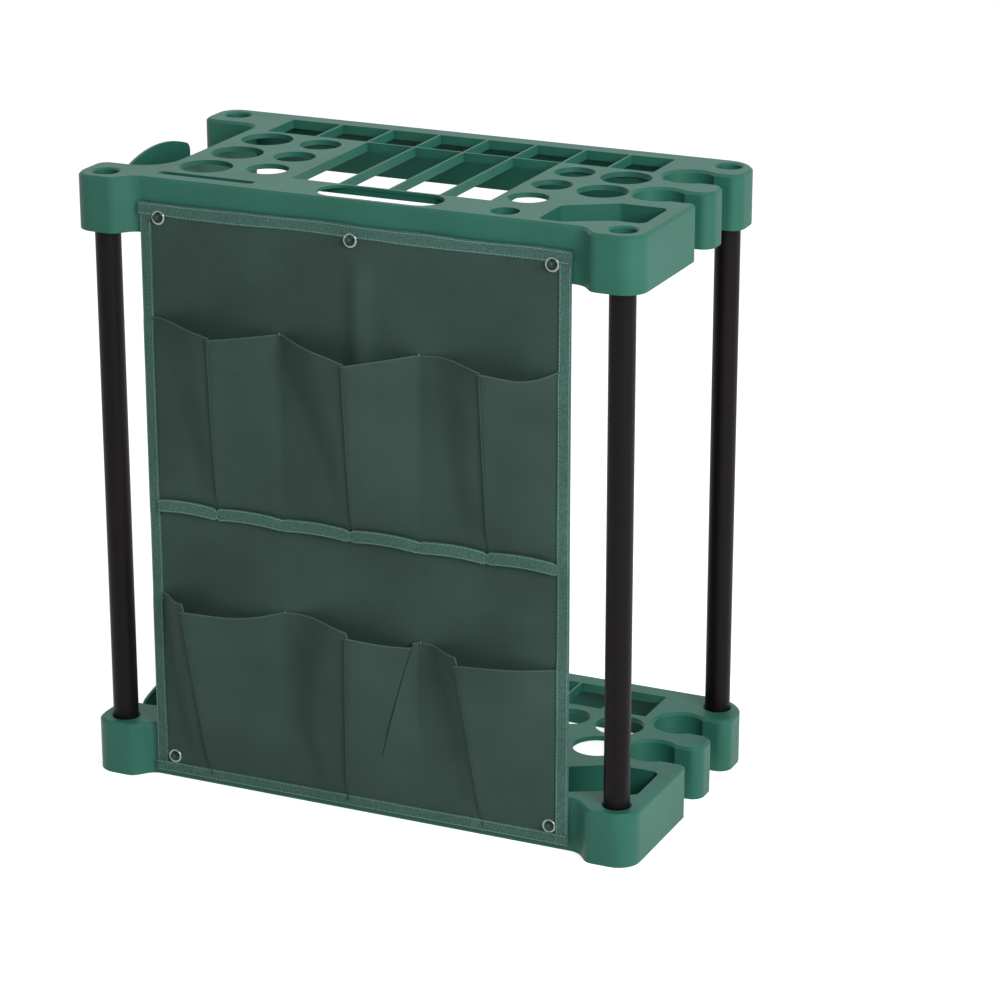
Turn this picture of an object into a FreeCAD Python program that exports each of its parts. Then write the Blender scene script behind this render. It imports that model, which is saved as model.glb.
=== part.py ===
import FreeCAD, Part
import math
import os
import Sketcher

# A freestanding garden tool rack.
# Two identical moulded trays are held apart by four steel tubes that push into sockets at the
# tray corners. The lower tray stands on the floor. Handles of garden tools drop through the round
# holes, the long cells and the open keyholes of both trays. A cloth pouch with six pleated pockets
# hangs in front, on five pegs that stick out of the front walls of the trays.
# X runs along the rack, Y from front to back, Z up. The sub-parts are modelled about the middle of
# the tray, and then moved along Y so that the origin is on the floor under the middle of the whole.

SIZES = (
    ("rack_height", 610, "floor to the top of the upper tray"),
    ("tray_length", 580, "tray along X"),
    ("tray_depth", 310, "tray along Y, over the front bosses"),
    ("tray_height", 54, "deck top to the foot of the skirt"),
    ("tray_wall", 3, "thickness of deck and skirt"),
    ("tray_edge", 2.6, "bevel of the upper outer edge"),
    ("front_corner", 22, "corner rounding of the two front bosses"),
    ("rear_left_corner", 22, "corner rounding at the rear left"),
    ("rear_right_corner", 32, "corner rounding at the rear right"),
    ("tube_inset_x", 25, "tube axes in from the ends of the tray"),
    ("tube_inset_y", 24, "tube axes in from the front and the rear of the tray"),
    ("tube_diameter", 25, "outside diameter of the steel tube"),
    ("tube_wall", 1, "wall of the steel tube"),
    ("socket_clearance", 0.2, "play of the tube in its socket, on the diameter"),
    ("socket_depth", 25, "how far a tube enters a socket"),
    ("socket_wall", 3, "wall of the socket barrel"),
    ("socket_lead", 1.8, "width of the bevel at the socket mouth"),
    ("socket_rib", 2.4, "thickness of the ribs between barrel and skirt"),
    ("recess_depth", 18, "how far the front wall stands behind the boss faces"),
    ("recess_left", 59, "left end of the front wall, from the left end"),
    ("recess_right", 61, "right end of the front wall, from the right end"),
    ("recess_slant", 15, "run of the slanted step from wall to boss"),
    ("recess_inner_round", 18, "rounding where the step meets the front wall"),
    ("recess_outer_round", 12, "rounding where the step meets the boss face"),
    ("notch_wall", 65, "inner wall of the left notch, from the left end"),
    ("notch_front", 58, "front end of the left notch, from the front"),
    ("notch_rear", 55, "rear end of the left notch, from the rear"),
    ("notch_front_round", 34, "inner corner at the front of the notch"),
    ("notch_rear_round", 16, "inner corner at the rear of the notch"),
    ("notch_mouth_round", 13, "outer corners of the notch"),
    ("key_circle", 51, "diameter of the keyhole rounds"),
    ("key_throat", 38, "width of the keyhole throats"),
    ("key_place_x", 44, "keyhole centres from the right end"),
    ("key_rear_y", 78, "centre of the rear keyhole, from the rear"),
    ("key_front_y", 153, "centre of the front keyhole, from the rear"),
    ("key_mouth_round", 13, "rounding of the keyhole mouths"),
    ("key_block_round", 5, "rear corner of the front right block"),
    ("big_left_diameter", 51, "left row of three"),
    ("big_left_x", 103, "left row of three, from the left end"),
    ("big_left_y", 108, "rearmost of the left row, from the rear"),
    ("big_left_pitch", 61.5, "spacing of the left row"),
    ("small_left_diameter", 41, "second row of three"),
    ("small_left_x", 161, "second row of three, from the left end"),
    ("small_left_y", 107, "rearmost of the second row, from the rear"),
    ("small_left_pitch", 54.5, "spacing of the second row"),
    ("small_right_diameter", 39, "third row of three"),
    ("small_right_x", 149, "third row of three, from the right end"),
    ("small_right_y", 107, "rearmost of the third row, from the rear"),
    ("small_right_pitch", 54, "spacing of the third row"),
    ("big_right_diameter", 49, "right pair"),
    ("big_right_x", 96, "right pair, from the right end"),
    ("big_right_y", 108, "rearmost of the right pair, from the rear"),
    ("big_right_pitch", 57, "spacing of the right pair"),
    ("single_diameter", 27, "single small hole at the front right"),
    ("single_x", 148, "single small hole, from the right end"),
    ("single_y", 41, "single small hole, from the front"),
    ("slot_x", 13.5, "middle of the wide front slot, from the middle"),
    ("slot_y", 46.5, "middle of the wide front slot, from the front"),
    ("slot_length", 127, "wide front slot along X"),
    ("slot_width", 42, "wide front slot along Y"),
    ("groove_x", 124, "middle of the narrow slot, from the left end"),
    ("groove_y", 40, "middle of the narrow slot, from the front"),
    ("groove_length", 102, "narrow slot along X"),
    ("groove_width", 9.5, "narrow slot along Y"),
    ("cell_depth", 16, "how far the cell walls hang below the deck top"),
    ("cell_web", 2.6, "thickness of the walls between cells"),
    ("rear_cells_left", 85, "left end of the rear cells, from the left end"),
    ("long_cells_left", 197, "left end of the long cells, from the left end"),
    ("long_cells_right", 175, "right end of the long cells, from the right end"),
    ("rear_cells_right", 80, "right end of the rear cells, from the right end"),
    ("cell_rear_y", 21, "rear side of the rear cells, from the rear"),
    ("cell_cross_y", 78, "middle of the wall between rear and long cells, from the rear"),
    ("cell_front_y", 71, "front end of the long cells, from the front"),
    ("bin_depth", 32, "depth of the small-parts bin"),
    ("bin_floor", 2.5, "floor and wall of the small-parts bin"),
    ("bin_round", 8, "corner rounding of the bin"),
    ("bin_left", 110, "left side of the bin, from the right end"),
    ("bin_right", 16, "right side of the bin, from the right end"),
    ("bin_front_y", 27, "front side of the bin, from the front"),
    ("bin_front_x", 87, "where the bin front turns back, from the right end"),
    ("bin_shoulder_x", 44, "where the slanted bin front ends, from the right end"),
    ("bin_shoulder_y", 50, "bin front beside the boss, from the front"),
    ("bin_rear_y", 110, "rear side of the bin, from the front"),
    ("bin_rear_x", 63, "where the slanted bin rear starts, from the right end"),
    ("bin_rear_left_y", 81, "left end of the slanted bin rear, from the front"),
    ("hook_middle_y", 3, "middle of the hanger on the left, behind the middle"),
    ("hook_width", 128, "width of the hanger lip along Y"),
    ("hook_drop", 6, "top of the hanger lip below the deck top"),
    ("hook_arc", 172, "radius of the arched lip"),
    ("hook_lip", 3, "thickness of the hanger lip"),
    ("hook_rise", 28, "lip above the saddle"),
    ("hook_saddle", 3.5, "thickness of the saddle"),
    ("hook_corner", 10, "rounding of the lip corners"),
    ("hook_inset", 1.5, "lip behind the left face of the tray"),
    ("cloth", 1.4, "thickness of the pouch cloth"),
    ("tape", 0.8, "thickness of the binding tape"),
    ("tape_width", 12, "binding tape on each edge"),
    ("tape_gap", 0.9, "pouch behind to front wall"),
    ("pouch_left", 66, "left edge of the pouch, from the left end of the tray"),
    ("pouch_right", 71, "right edge of the pouch, from the right end of the tray"),
    ("pouch_foot", 6, "lower edge of the pouch"),
    ("pouch_drop", 24, "upper edge of the pouch below the rack top"),
    ("middle_tape_foot", 280, "lower edge of the tape under the upper pockets"),
    ("middle_tape_width", 13, "tape under the upper pockets"),
    ("seam_second", -77, "seam between the first and second pocket, from the middle"),
    ("seam_third", 68, "seam between the second and third pocket, from the middle"),
    ("seam_land", 4, "cloth stitched flat on each side of a seam"),
    ("upper_pocket_reach", 30, "how far the open tops of the upper pockets stand out"),
    ("lower_pocket_reach", 24, "how far the open tops of the lower pockets stand out"),
    ("upper_pocket_drop", 139, "top of the upper pockets at the seams, below the rack top"),
    ("lower_pocket_top", 191, "top of the lower pockets at the seams"),
    ("pocket_foot_reach", 1, "how far a pocket stands out at its foot"),
    ("upper_ridge_1_top", 145, "fold of the first upper pocket, at its top, from the left end"),
    ("upper_ridge_2_top", -4, "fold of the second upper pocket, at its top, from the middle"),
    ("upper_ridge_3_top", 160, "fold of the third upper pocket, at its top, from the right end"),
    ("upper_ridge_1_foot", 141, "the same fold at the foot, from the left end"),
    ("upper_ridge_2_foot", -8, "the same fold at the foot, from the middle"),
    ("upper_ridge_3_foot", 157, "the same fold at the foot, from the right end"),
    ("lower_ridge_1_top", 110, "fold of the first lower pocket, at its top, from the left end"),
    ("lower_ridge_2_top", 0, "fold of the second lower pocket, at its top, from the middle"),
    ("lower_ridge_3_top", 177, "fold of the third lower pocket, at its top, from the right end"),
    ("lower_ridge_1_foot", 132, "the same fold at the foot, from the left end"),
    ("lower_ridge_2_foot", -8, "the same fold at the foot, from the middle"),
    ("lower_ridge_3_foot", 157, "the same fold at the foot, from the right end"),
    ("peg_diameter", 6, "pouch peg"),
    ("peg_reach", 7, "peg in front of the pouch cloth"),
    ("peg_flange", 11, "flange of the peg behind the front wall"),
    ("peg_flange_width", 1.6, "thickness of that flange"),
    ("peg_bevel", 1.2, "bevel of the peg tip"),
    ("peg_drop", 35.6, "pegs of the upper tray below the rack top"),
    ("peg_rise", 25.4, "pegs of the lower tray above the floor"),
    ("peg_left", 86, "left pegs, from the left end"),
    ("peg_middle", -2, "middle peg, from the middle"),
    ("peg_right", 89.5, "right pegs, from the right end"),
    ("eyelet_bore", 9, "clear hole of an eyelet"),
    ("eyelet_rim", 14.5, "outside diameter of an eyelet"),
    ("eyelet_roll", 1.2, "height and slant of the rolled rim"),
    ("rim_play", 0.2, "room round the eyelet rim in the pocket cloth, on the diameter"),
    ("hang_gap", 0.1, "eyelet bore above the peg it hangs on"),
)

doc = FreeCAD.newDocument("GardenToolRack")
sheet = doc.addObject("Spreadsheet::Sheet", "Sizes")
for row, (alias, number, note) in enumerate(SIZES, start=1):
    sheet.set(f"A{row}", alias)
    sheet.set(f"B{row}", str(number))
    sheet.set(f"C{row}", note)
    sheet.setAlias(f"B{row}", alias)
doc.recompute()


class Size:
    """A length from the sheet, or one worked out from such lengths.

    It holds the number and the expression that binds a feature to it."""

    def __init__(self, number, text):
        self.number = number
        self.text = text

    def __add__(self, other):
        other = as_size(other)
        return Size(self.number + other.number, f"({self.text} + {other.text})")

    def __sub__(self, other):
        other = as_size(other)
        return Size(self.number - other.number, f"({self.text} - {other.text})")

    def __mul__(self, factor):
        return Size(self.number * factor, f"({self.text} * {factor})")

    def __truediv__(self, factor):
        return Size(self.number / factor, f"({self.text} / {factor})")

    def __neg__(self):
        return Size(-self.number, f"(0 - {self.text})")


def as_size(value):
    """A plain number counts as a size too."""
    return value if isinstance(value, Size) else Size(value, f"({value})")


def size(alias):
    """The size that the sheet keeps under this alias."""
    return Size(float(sheet.get(alias)), f"Sizes.{alias}")


ORIGIN = (-1, 1)
half_length = size("tray_length") / 2
half_depth = size("tray_depth") / 2
deck_top = size("tray_height")
wall = size("tray_wall")
front_wall = -half_depth + size("recess_depth")


def from_left(alias):
    """A place along X, in from the left end of the tray."""
    return size(alias) - half_length


def from_right(alias):
    return half_length - size(alias)


def from_front(alias):
    return size(alias) - half_depth


def from_rear(alias):
    return half_depth - size(alias)


def from_top(alias):
    """A height, down from the top of the rack."""
    return size("rack_height") - size(alias)


tube_x = half_length - size("tube_inset_x")
tube_y = half_depth - size("tube_inset_y")


def origin_plane(body, role):
    """One of the three base planes of a body, found by its role."""
    return next(item for item in body.Origin.OriginFeatures if item.Role == role)


def new_body(label):
    body = doc.addObject("PartDesign::Body", label)
    body.Label = label
    return body


def new_sketch(body, name, role="XY_Plane", offset=None):
    """A sketch on a base plane of its body, moved along the plane's normal where asked."""
    sketch = body.newObject("Sketcher::SketchObject", name)
    sketch.AttachmentSupport = [(origin_plane(body, role), "")]
    sketch.MapMode = "FlatFace"
    if offset is not None:
        sketch.setExpression(".AttachmentOffset.Base.z", as_size(offset).text)
    return sketch


TURNS = {
    "flat": FreeCAD.Rotation(),
    "side": FreeCAD.Rotation(FreeCAD.Vector(1, 1, 1), 120),
    "front": FreeCAD.Rotation(FreeCAD.Vector(1, 0, 0), 90),
}
LIFTS = {"flat": "z", "side": "x", "front": "y"}


def free_sketch(name, offset=0, view="flat"):
    """A sketch of its own: flat, or seen from the side (Y, Z) or the front (X, Z)."""
    sketch = doc.addObject("Sketcher::SketchObject", name)
    sketch.Placement = FreeCAD.Placement(FreeCAD.Vector(), TURNS[view])
    sketch.setExpression(".Placement.Base." + LIFTS[view], as_size(offset).text)
    return sketch


waiting = {}


def join(sketch, kind, *terms):
    """Notes a constraint without a size, which settle then adds."""
    waiting.setdefault(sketch.Name, []).append((Sketcher.Constraint(kind, *terms), None))


def bind(sketch, kind, *terms):
    """Notes a driving dimension whose last term is a size, which settle binds to the sheet."""
    value = as_size(terms[-1])
    constraint = Sketcher.Constraint(kind, *terms[:-1], value.number)
    waiting.setdefault(sketch.Name, []).append((constraint, value.text))


def settle(sketch):
    """Adds all constraints of a sketch in one go, so that it is solved only once."""
    entries = waiting.pop(sketch.Name)
    sketch.addConstraint([constraint for constraint, text in entries])
    for index, (constraint, text) in enumerate(entries):
        if text is not None:
            sketch.setExpression(f"Constraints[{index}]", text)


def place_point(sketch, geometry, point, x, y):
    bind(sketch, "DistanceX", *ORIGIN, geometry, point, x)
    bind(sketch, "DistanceY", *ORIGIN, geometry, point, y)


def add_circle(sketch, x, y, diameter):
    x, y, diameter = as_size(x), as_size(y), as_size(diameter)
    centre = FreeCAD.Vector(x.number, y.number, 0)
    shape = Part.Circle(centre, FreeCAD.Vector(0, 0, 1), diameter.number / 2)
    circle = sketch.addGeometry(shape, False)
    place_point(sketch, circle, 3, x, y)
    bind(sketch, "Diameter", circle, diameter)


def corner_arc(before, corner, after, radius):
    """Tangent points and arc of a rounded corner, and whether the outline turns left there."""
    inward = (corner - before).normalize()
    outward = (after - corner).normalize()
    turn = math.atan2(inward.cross(outward).z, inward.dot(outward))
    reach = radius * math.tan(abs(turn) / 2)
    start = corner - inward * reach
    end = corner + outward * reach
    side = 1 if turn > 0 else -1
    centre = start + FreeCAD.Vector(-inward.y, inward.x, 0) * (radius * side)
    first, last = (start, end) if turn > 0 else (end, start)
    angles = [math.atan2((point - centre).y, (point - centre).x) for point in (first, last)]
    circle = Part.Circle(centre, FreeCAD.Vector(0, 0, 1), radius)
    return start, end, Part.ArcOfCircle(circle, angles[0], angles[1]), turn > 0


def add_outline(sketch, corners):
    """A closed outline of straight edges through corners (x, y, rounding), 0 for a sharp one."""
    corners = [tuple(as_size(value) for value in corner) for corner in corners]
    points = [FreeCAD.Vector(x.number, y.number, 0) for x, y, _ in corners]
    count = len(points)
    rounds = []
    for index, (x, y, radius) in enumerate(corners):
        if radius.number:
            found = corner_arc(points[index - 1], points[index], points[(index + 1) % count],
                               radius.number)
        else:
            found = (points[index], points[index], None, True)
        rounds.append(found)
    edges = []
    for index in range(count):
        line = Part.LineSegment(rounds[index][1], rounds[(index + 1) % count][0])
        edges.append(sketch.addGeometry(line, False))
    for index, (x, y, radius) in enumerate(corners):
        before, after = edges[index - 1], edges[index]
        arc_shape, turns_left = rounds[index][2:]
        if arc_shape is None:
            join(sketch, "Coincident", before, 2, after, 1)
            place_point(sketch, after, 1, x, y)
            continue
        arc = sketch.addGeometry(arc_shape, False)
        corner = sketch.addGeometry(Part.Point(points[index]), True)
        entry, leave = (1, 2) if turns_left else (2, 1)
        join(sketch, "Tangent", before, 2, arc, entry)
        join(sketch, "Tangent", after, 1, arc, leave)
        join(sketch, "PointOnObject", corner, 1, before)
        join(sketch, "PointOnObject", corner, 1, after)
        bind(sketch, "Radius", arc, radius)
        place_point(sketch, corner, 1, x, y)


def rectangle(x_low, x_high, y_low, y_high, radius=0):
    """Corners of an upright rectangle for add_outline."""
    return [(x_low, y_low, radius), (x_high, y_low, radius),
            (x_high, y_high, radius), (x_low, y_high, radius)]


def pad(body, sketch, length):
    settle(sketch)
    feature = body.newObject("PartDesign::Pad", sketch.Name + "_pad")
    feature.Profile = sketch
    feature.Refine = False
    feature.setExpression("Length", as_size(length).text)
    sketch.Visibility = False
    return feature


def pocket(body, sketch, depth=None, upward=False):
    """A cut down from the sketch, or up from it; right through where no depth is given."""
    settle(sketch)
    doc.recompute()
    volume = body.Shape.Volume
    feature = body.newObject("PartDesign::Pocket", sketch.Name + "_cut")
    feature.Profile = sketch
    feature.Refine = False
    feature.Reversed = upward
    if depth is None:
        feature.Type = "ThroughAll"
    else:
        feature.setExpression("Length", as_size(depth).text)
    doc.recompute()
    if not body.Shape.Volume < volume:
        raise ValueError(f"{feature.Name} cuts nothing")
    return feature


def extrude(sketch, length, reversed_way=False):
    """A solid from a sketch of its own, along the sketch's normal or against it."""
    settle(sketch)
    solid = doc.addObject("Part::Extrusion", sketch.Name + "_solid")
    solid.Base = sketch
    solid.DirMode = "Normal"
    solid.Solid = True
    solid.Reversed = reversed_way
    solid.setExpression("LengthFwd", as_size(length).text)
    return solid


def join_solids(name, solids):
    group = doc.addObject("Part::MultiFuse", name)
    group.Shapes = solids
    return group


def cut_away(name, base, tool):
    """The base without the tool, checked to have lost volume."""
    result = doc.addObject("Part::Cut", name)
    result.Base = base
    result.Tool = tool
    doc.recompute()
    if not result.Shape.Volume < base.Shape.Volume:
        raise ValueError(f"{name} cuts nothing")
    return result


def treat_edges(body, name, kind, setting, value, chosen):
    """Adds an edge feature on the edges that the test picks out of the body's present shape."""
    doc.recompute()
    tip = body.Tip
    names = [f"Edge{number}" for number, edge in enumerate(tip.Shape.Edges, start=1)
             if chosen(edge)]
    feature = body.newObject(kind, name)
    feature.Base = (tip, names)
    feature.setExpression(setting, as_size(value).text)
    doc.recompute()


def round_edges(body, name, radius, chosen):
    """Rounds the chosen edges."""
    treat_edges(body, name, "PartDesign::Fillet", "Radius", radius, chosen)


def bevel_edges(body, name, width, chosen):
    """Bevels the chosen edges."""
    treat_edges(body, name, "PartDesign::Chamfer", "Size", width, chosen)


def upright_at(x, y):
    """Picks the upright edges whose plan position is this one."""
    x, y = as_size(x).number, as_size(y).number

    def chosen(edge):
        low, high = edge.Vertexes[0].Point, edge.Vertexes[-1].Point
        return (math.hypot(low.x - x, low.y - y) < 0.01 and math.hypot(high.x - x, high.y - y) < 0.01
                and abs(high.z - low.z) > 1)
    return chosen


def at_height(height):
    """Picks the edges that lie level at this height."""
    height = as_size(height).number

    def chosen(edge):
        box = edge.BoundBox
        return abs(box.ZMin - height) < 0.01 and abs(box.ZMax - height) < 0.01
    return chosen


def add_stadium(sketch, x, y, length, width):
    """A slot outline with round ends, long side along the sketch's first axis."""
    x, y, length, width = (as_size(value) for value in (x, y, length, width))
    half = (length - width) / 2
    radius = width.number / 2
    up = FreeCAD.Vector(0, radius, 0)
    left = FreeCAD.Vector((x - half).number, y.number, 0)
    right = FreeCAD.Vector((x + half).number, y.number, 0)
    normal = FreeCAD.Vector(0, 0, 1)
    right_end = Part.ArcOfCircle(Part.Circle(right, normal, radius), -math.pi / 2, math.pi / 2)
    left_end = Part.ArcOfCircle(Part.Circle(left, normal, radius), math.pi / 2, 1.5 * math.pi)
    foot, round_right, top, round_left = sketch.addGeometry([
        Part.LineSegment(left - up, right - up),
        right_end,
        Part.LineSegment(right + up, left + up),
        left_end,
    ], False)
    join(sketch, "Tangent", foot, 2, round_right, 1)
    join(sketch, "Tangent", round_right, 2, top, 1)
    join(sketch, "Tangent", top, 2, round_left, 1)
    join(sketch, "Tangent", round_left, 2, foot, 1)
    bind(sketch, "Diameter", round_right, width)
    place_point(sketch, round_right, 3, x + half, y)
    place_point(sketch, round_left, 3, x - half, y)


def add_arched_band(sketch, x, y, outer, inner, half_width):
    """A band between two arcs about (x, y), with upright ends at half_width from x."""
    x, y, outer, inner, half_width = (as_size(v) for v in (x, y, outer, inner, half_width))
    centre = FreeCAD.Vector(x.number, y.number, 0)
    normal = FreeCAD.Vector(0, 0, 1)
    arcs = []
    for radius in (outer.number, inner.number):
        opening = math.asin(half_width.number / radius)
        circle = Part.Circle(centre, normal, radius)
        arcs.append(Part.ArcOfCircle(circle, math.pi / 2 - opening, math.pi / 2 + opening))
    top, foot = sketch.addGeometry(arcs, False)
    right, left = sketch.addGeometry([
        Part.LineSegment(arcs[1].StartPoint, arcs[0].StartPoint),
        Part.LineSegment(arcs[1].EndPoint, arcs[0].EndPoint),
    ], False)
    join(sketch, "Coincident", right, 1, foot, 1)
    join(sketch, "Coincident", right, 2, top, 1)
    join(sketch, "Coincident", left, 1, foot, 2)
    join(sketch, "Coincident", left, 2, top, 2)
    join(sketch, "Coincident", top, 3, foot, 3)
    join(sketch, "Vertical", right)
    join(sketch, "Vertical", left)
    bind(sketch, "Radius", top, outer)
    bind(sketch, "Radius", foot, inner)
    place_point(sketch, top, 3, x, y)
    bind(sketch, "DistanceX", *ORIGIN, right, 1, x + half_width)
    bind(sketch, "DistanceX", *ORIGIN, left, 1, x - half_width)


def cut_outline(body):
    """The block of the tray: corner bosses, recessed front, left notch and right keyholes."""
    past = 20
    left, right = -half_length, half_length
    front, rear = -half_depth, half_depth
    sketch = new_sketch(body, "plan")
    add_outline(sketch, [
        (left, front, size("front_corner")), (right, front, size("front_corner")),
        (right, rear, size("rear_right_corner")), (left, rear, size("rear_left_corner")),
    ])
    pad(body, sketch, deck_top)

    notch_front, notch_rear = from_front("notch_front"), from_rear("notch_rear")
    sketch = new_sketch(body, "notch")
    add_outline(sketch, [
        (left - past, notch_front, 0),
        (from_left("notch_wall"), notch_front, size("notch_front_round")),
        (from_left("notch_wall"), notch_rear, size("notch_rear_round")),
        (left - past, notch_rear, 0),
    ])
    pocket(body, sketch, upward=True)

    step_left = from_left("recess_left") - size("recess_slant")
    step_right = from_right("recess_right") + size("recess_slant")
    sketch = new_sketch(body, "front_recess")
    add_outline(sketch, [
        (step_left, front - past, 0), (step_right, front - past, 0), (step_right, front, 0),
        (from_right("recess_right"), front_wall, size("recess_inner_round")),
        (from_left("recess_left"), front_wall, size("recess_inner_round")),
        (step_left, front, 0),
    ])
    pocket(body, sketch, upward=True)

    throat = size("key_throat") / 2
    key_x, key_rear, key_front = (from_right("key_place_x"), from_rear("key_rear_y"),
                                  from_rear("key_front_y"))
    for name, middle in (("rear_key", key_rear), ("front_key", key_front)):
        sketch = new_sketch(body, name + "_round")
        add_circle(sketch, key_x, middle, size("key_circle"))
        pocket(body, sketch, upward=True)
        sketch = new_sketch(body, name + "_throat")
        add_outline(sketch, rectangle(key_x, right + past, middle - throat, middle + throat))
        pocket(body, sketch, upward=True)

    def any_of(*tests):
        return lambda edge: any(test(edge) for test in tests)

    round_edges(body, "notch_mouth", size("notch_mouth_round"),
                any_of(upright_at(left, notch_front), upright_at(left, notch_rear)))
    round_edges(body, "step_corners", size("recess_outer_round"),
                any_of(upright_at(step_left, front), upright_at(step_right, front)))
    round_edges(body, "key_mouths", size("key_mouth_round"), any_of(
        upright_at(right, key_rear + throat), upright_at(right, key_rear - throat),
        upright_at(right, key_front + throat)))
    round_edges(body, "key_block", size("key_block_round"),
                upright_at(right, key_front - throat))


def shell_below(body):
    """Hollows the block from below, leaving the deck and the skirt."""
    doc.recompute()
    tip = body.Tip
    foot = [f"Face{number}" for number, face in enumerate(tip.Shape.Faces, start=1)
            if abs(face.BoundBox.ZMax) < 0.01]
    feature = body.newObject("PartDesign::Thickness", "skirt")
    feature.Base = (tip, foot)
    feature.setExpression("Value", wall.text)
    feature.Mode = 0
    feature.Join = 0
    feature.Reversed = True
    bevel_edges(body, "deck_edge", size("tray_edge"), at_height(deck_top))


def corner_signs():
    """The four tube corners as signs along X and Y."""
    return [(-1, -1), (1, -1), (-1, 1), (1, 1)]


def socket_solids():
    """Barrels that take a tube from above and from below, tied to the skirt by ribs."""
    barrel = size("tube_diameter") + size("socket_clearance") + size("socket_wall") * 2
    half_rib = size("socket_rib") / 2
    skin = wall / 2

    barrels = free_sketch("barrels")
    ribs_across = free_sketch("ribs_across")
    ribs_along = free_sketch("ribs_along")
    for sign_x, sign_y in corner_signs():
        x, y = tube_x * sign_x, tube_y * sign_y
        side, face = (half_length - skin) * sign_x, (half_depth - skin) * sign_y
        left, right = (x, side) if sign_x > 0 else (side, x)
        front, rear = (y, face) if sign_y > 0 else (face, y)
        add_circle(barrels, x, y, barrel)
        add_outline(ribs_across, rectangle(left, right, y - half_rib, y + half_rib))
        add_outline(ribs_along, rectangle(x - half_rib, x + half_rib, front, rear))
    return [extrude(barrels, deck_top),
            extrude(ribs_across, deck_top - skin),
            extrude(ribs_along, deck_top - skin)]


def socket_bores():
    bore = size("tube_diameter") + size("socket_clearance")
    bores = []
    for name, height in (("sockets_above", deck_top), ("sockets_below", as_size(0))):
        sketch = free_sketch(name, height)
        for sign_x, sign_y in corner_signs():
            add_circle(sketch, tube_x * sign_x, tube_y * sign_y, bore)
        bores.append(extrude(sketch, size("socket_depth"), name == "sockets_above"))
    return bores


def hole_rows():
    """Centre and diameter of every round hole in the deck."""
    rows = (("big_left", 3, from_left), ("small_left", 3, from_left),
            ("small_right", 3, from_right), ("big_right", 2, from_right))
    holes = [(from_right("single_x"), from_front("single_y"), size("single_diameter"))]
    for row, count, place in rows:
        for step in range(count):
            y = from_rear(row + "_y") - size(row + "_pitch") * step
            holes.append((place(row + "_x"), y, size(row + "_diameter")))
    return holes


def slots():
    """Centre, length and width of the two slots in the deck."""
    places = (("slot", size("slot_x")), ("groove", from_left("groove_x")))
    return [(x, from_front(name + "_y"), size(name + "_length"), size(name + "_width"))
            for name, x in places]


def hole_cuts():
    sketch = free_sketch("holes", deck_top)
    for x, y, diameter in hole_rows():
        add_circle(sketch, x, y, diameter)
    for x, y, length, width in slots():
        add_stadium(sketch, x, y, length, width)
    return [extrude(sketch, deck_top, True)]


def cell_rows():
    """Rows of cells: left end, right end, how many, front and rear side."""
    half_web = size("cell_web") / 2
    ends = (from_left("rear_cells_left"), from_left("long_cells_left"),
            from_right("long_cells_right"), from_right("rear_cells_right"))
    rear, front, cross = (from_rear("cell_rear_y"), from_front("cell_front_y"),
                          from_rear("cell_cross_y"))
    return (("rear_left_cells", ends[0], ends[1], 2, cross + half_web, rear),
            ("rear_middle_cells", ends[1], ends[2], 4, cross + half_web, rear),
            ("rear_right_cells", ends[2], ends[3], 2, cross + half_web, rear),
            ("long_cells", ends[1], ends[2], 4, front, cross - half_web))


def cell_walls():
    """The blocks that the cells are cut from: one along the rear, one forward of it."""
    web = size("cell_web")
    rows = cell_rows()
    cross = from_rear("cell_cross_y")
    blocks = (("rear_cell_block", rectangle(rows[0][1] - web, rows[2][2] + web,
                                            cross - web / 2, rows[0][5] + web)),
              ("long_cell_block", rectangle(rows[3][1] - web, rows[3][2] + web,
                                            rows[3][4] - web, cross)))
    solids = []
    for name, corners in blocks:
        sketch = free_sketch(name, deck_top)
        add_outline(sketch, corners)
        solids.append(extrude(sketch, size("cell_depth"), True))
    return solids


def cell_cuts():
    """Twelve rectangular cells: eight along the rear, with the middle four carried forward."""
    half_web = size("cell_web") / 2
    solids = []
    for name, low, high, count, low_y, high_y in cell_rows():
        pitch = (high - low) / count
        for number in range(count):
            sketch = free_sketch(f"{name}_{number + 1}", deck_top)
            left = low + pitch * number + half_web
            right = low + pitch * (number + 1) - half_web
            add_outline(sketch, rectangle(left, right, low_y, high_y))
            solids.append(extrude(sketch, deck_top, True))
    return solids


def bin_corners(grown):
    """Plan of the small-parts bin, moved outward by the given amount."""
    left, right = from_right("bin_left"), from_right("bin_right")
    front, shoulder = from_front("bin_front_y"), from_front("bin_shoulder_y")
    rear, rear_left = from_front("bin_rear_y"), from_front("bin_rear_left_y")
    radius = size("bin_round") + grown
    return [
        (left - grown, front - grown, radius),
        (from_right("bin_front_x") + grown / 2, front - grown, radius),
        (from_right("bin_shoulder_x") + grown / 2, shoulder - grown, radius),
        (right + grown, shoulder - grown, radius),
        (right + grown, rear + grown, radius),
        (from_right("bin_rear_x"), rear + grown, radius),
        (left - grown, rear_left + grown, radius),
    ]


def bin_solid():
    """The outside of a shallow bin for small parts, at the front right of the deck."""
    sketch = free_sketch("bin_wall", deck_top)
    add_outline(sketch, bin_corners(size("bin_floor")))
    return [extrude(sketch, size("bin_depth") + size("bin_floor"), True)]


def bin_hollow():
    sketch = free_sketch("bin_hollow", deck_top)
    add_outline(sketch, bin_corners(as_size(0)))
    return [extrude(sketch, size("bin_depth"), True)]


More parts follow.
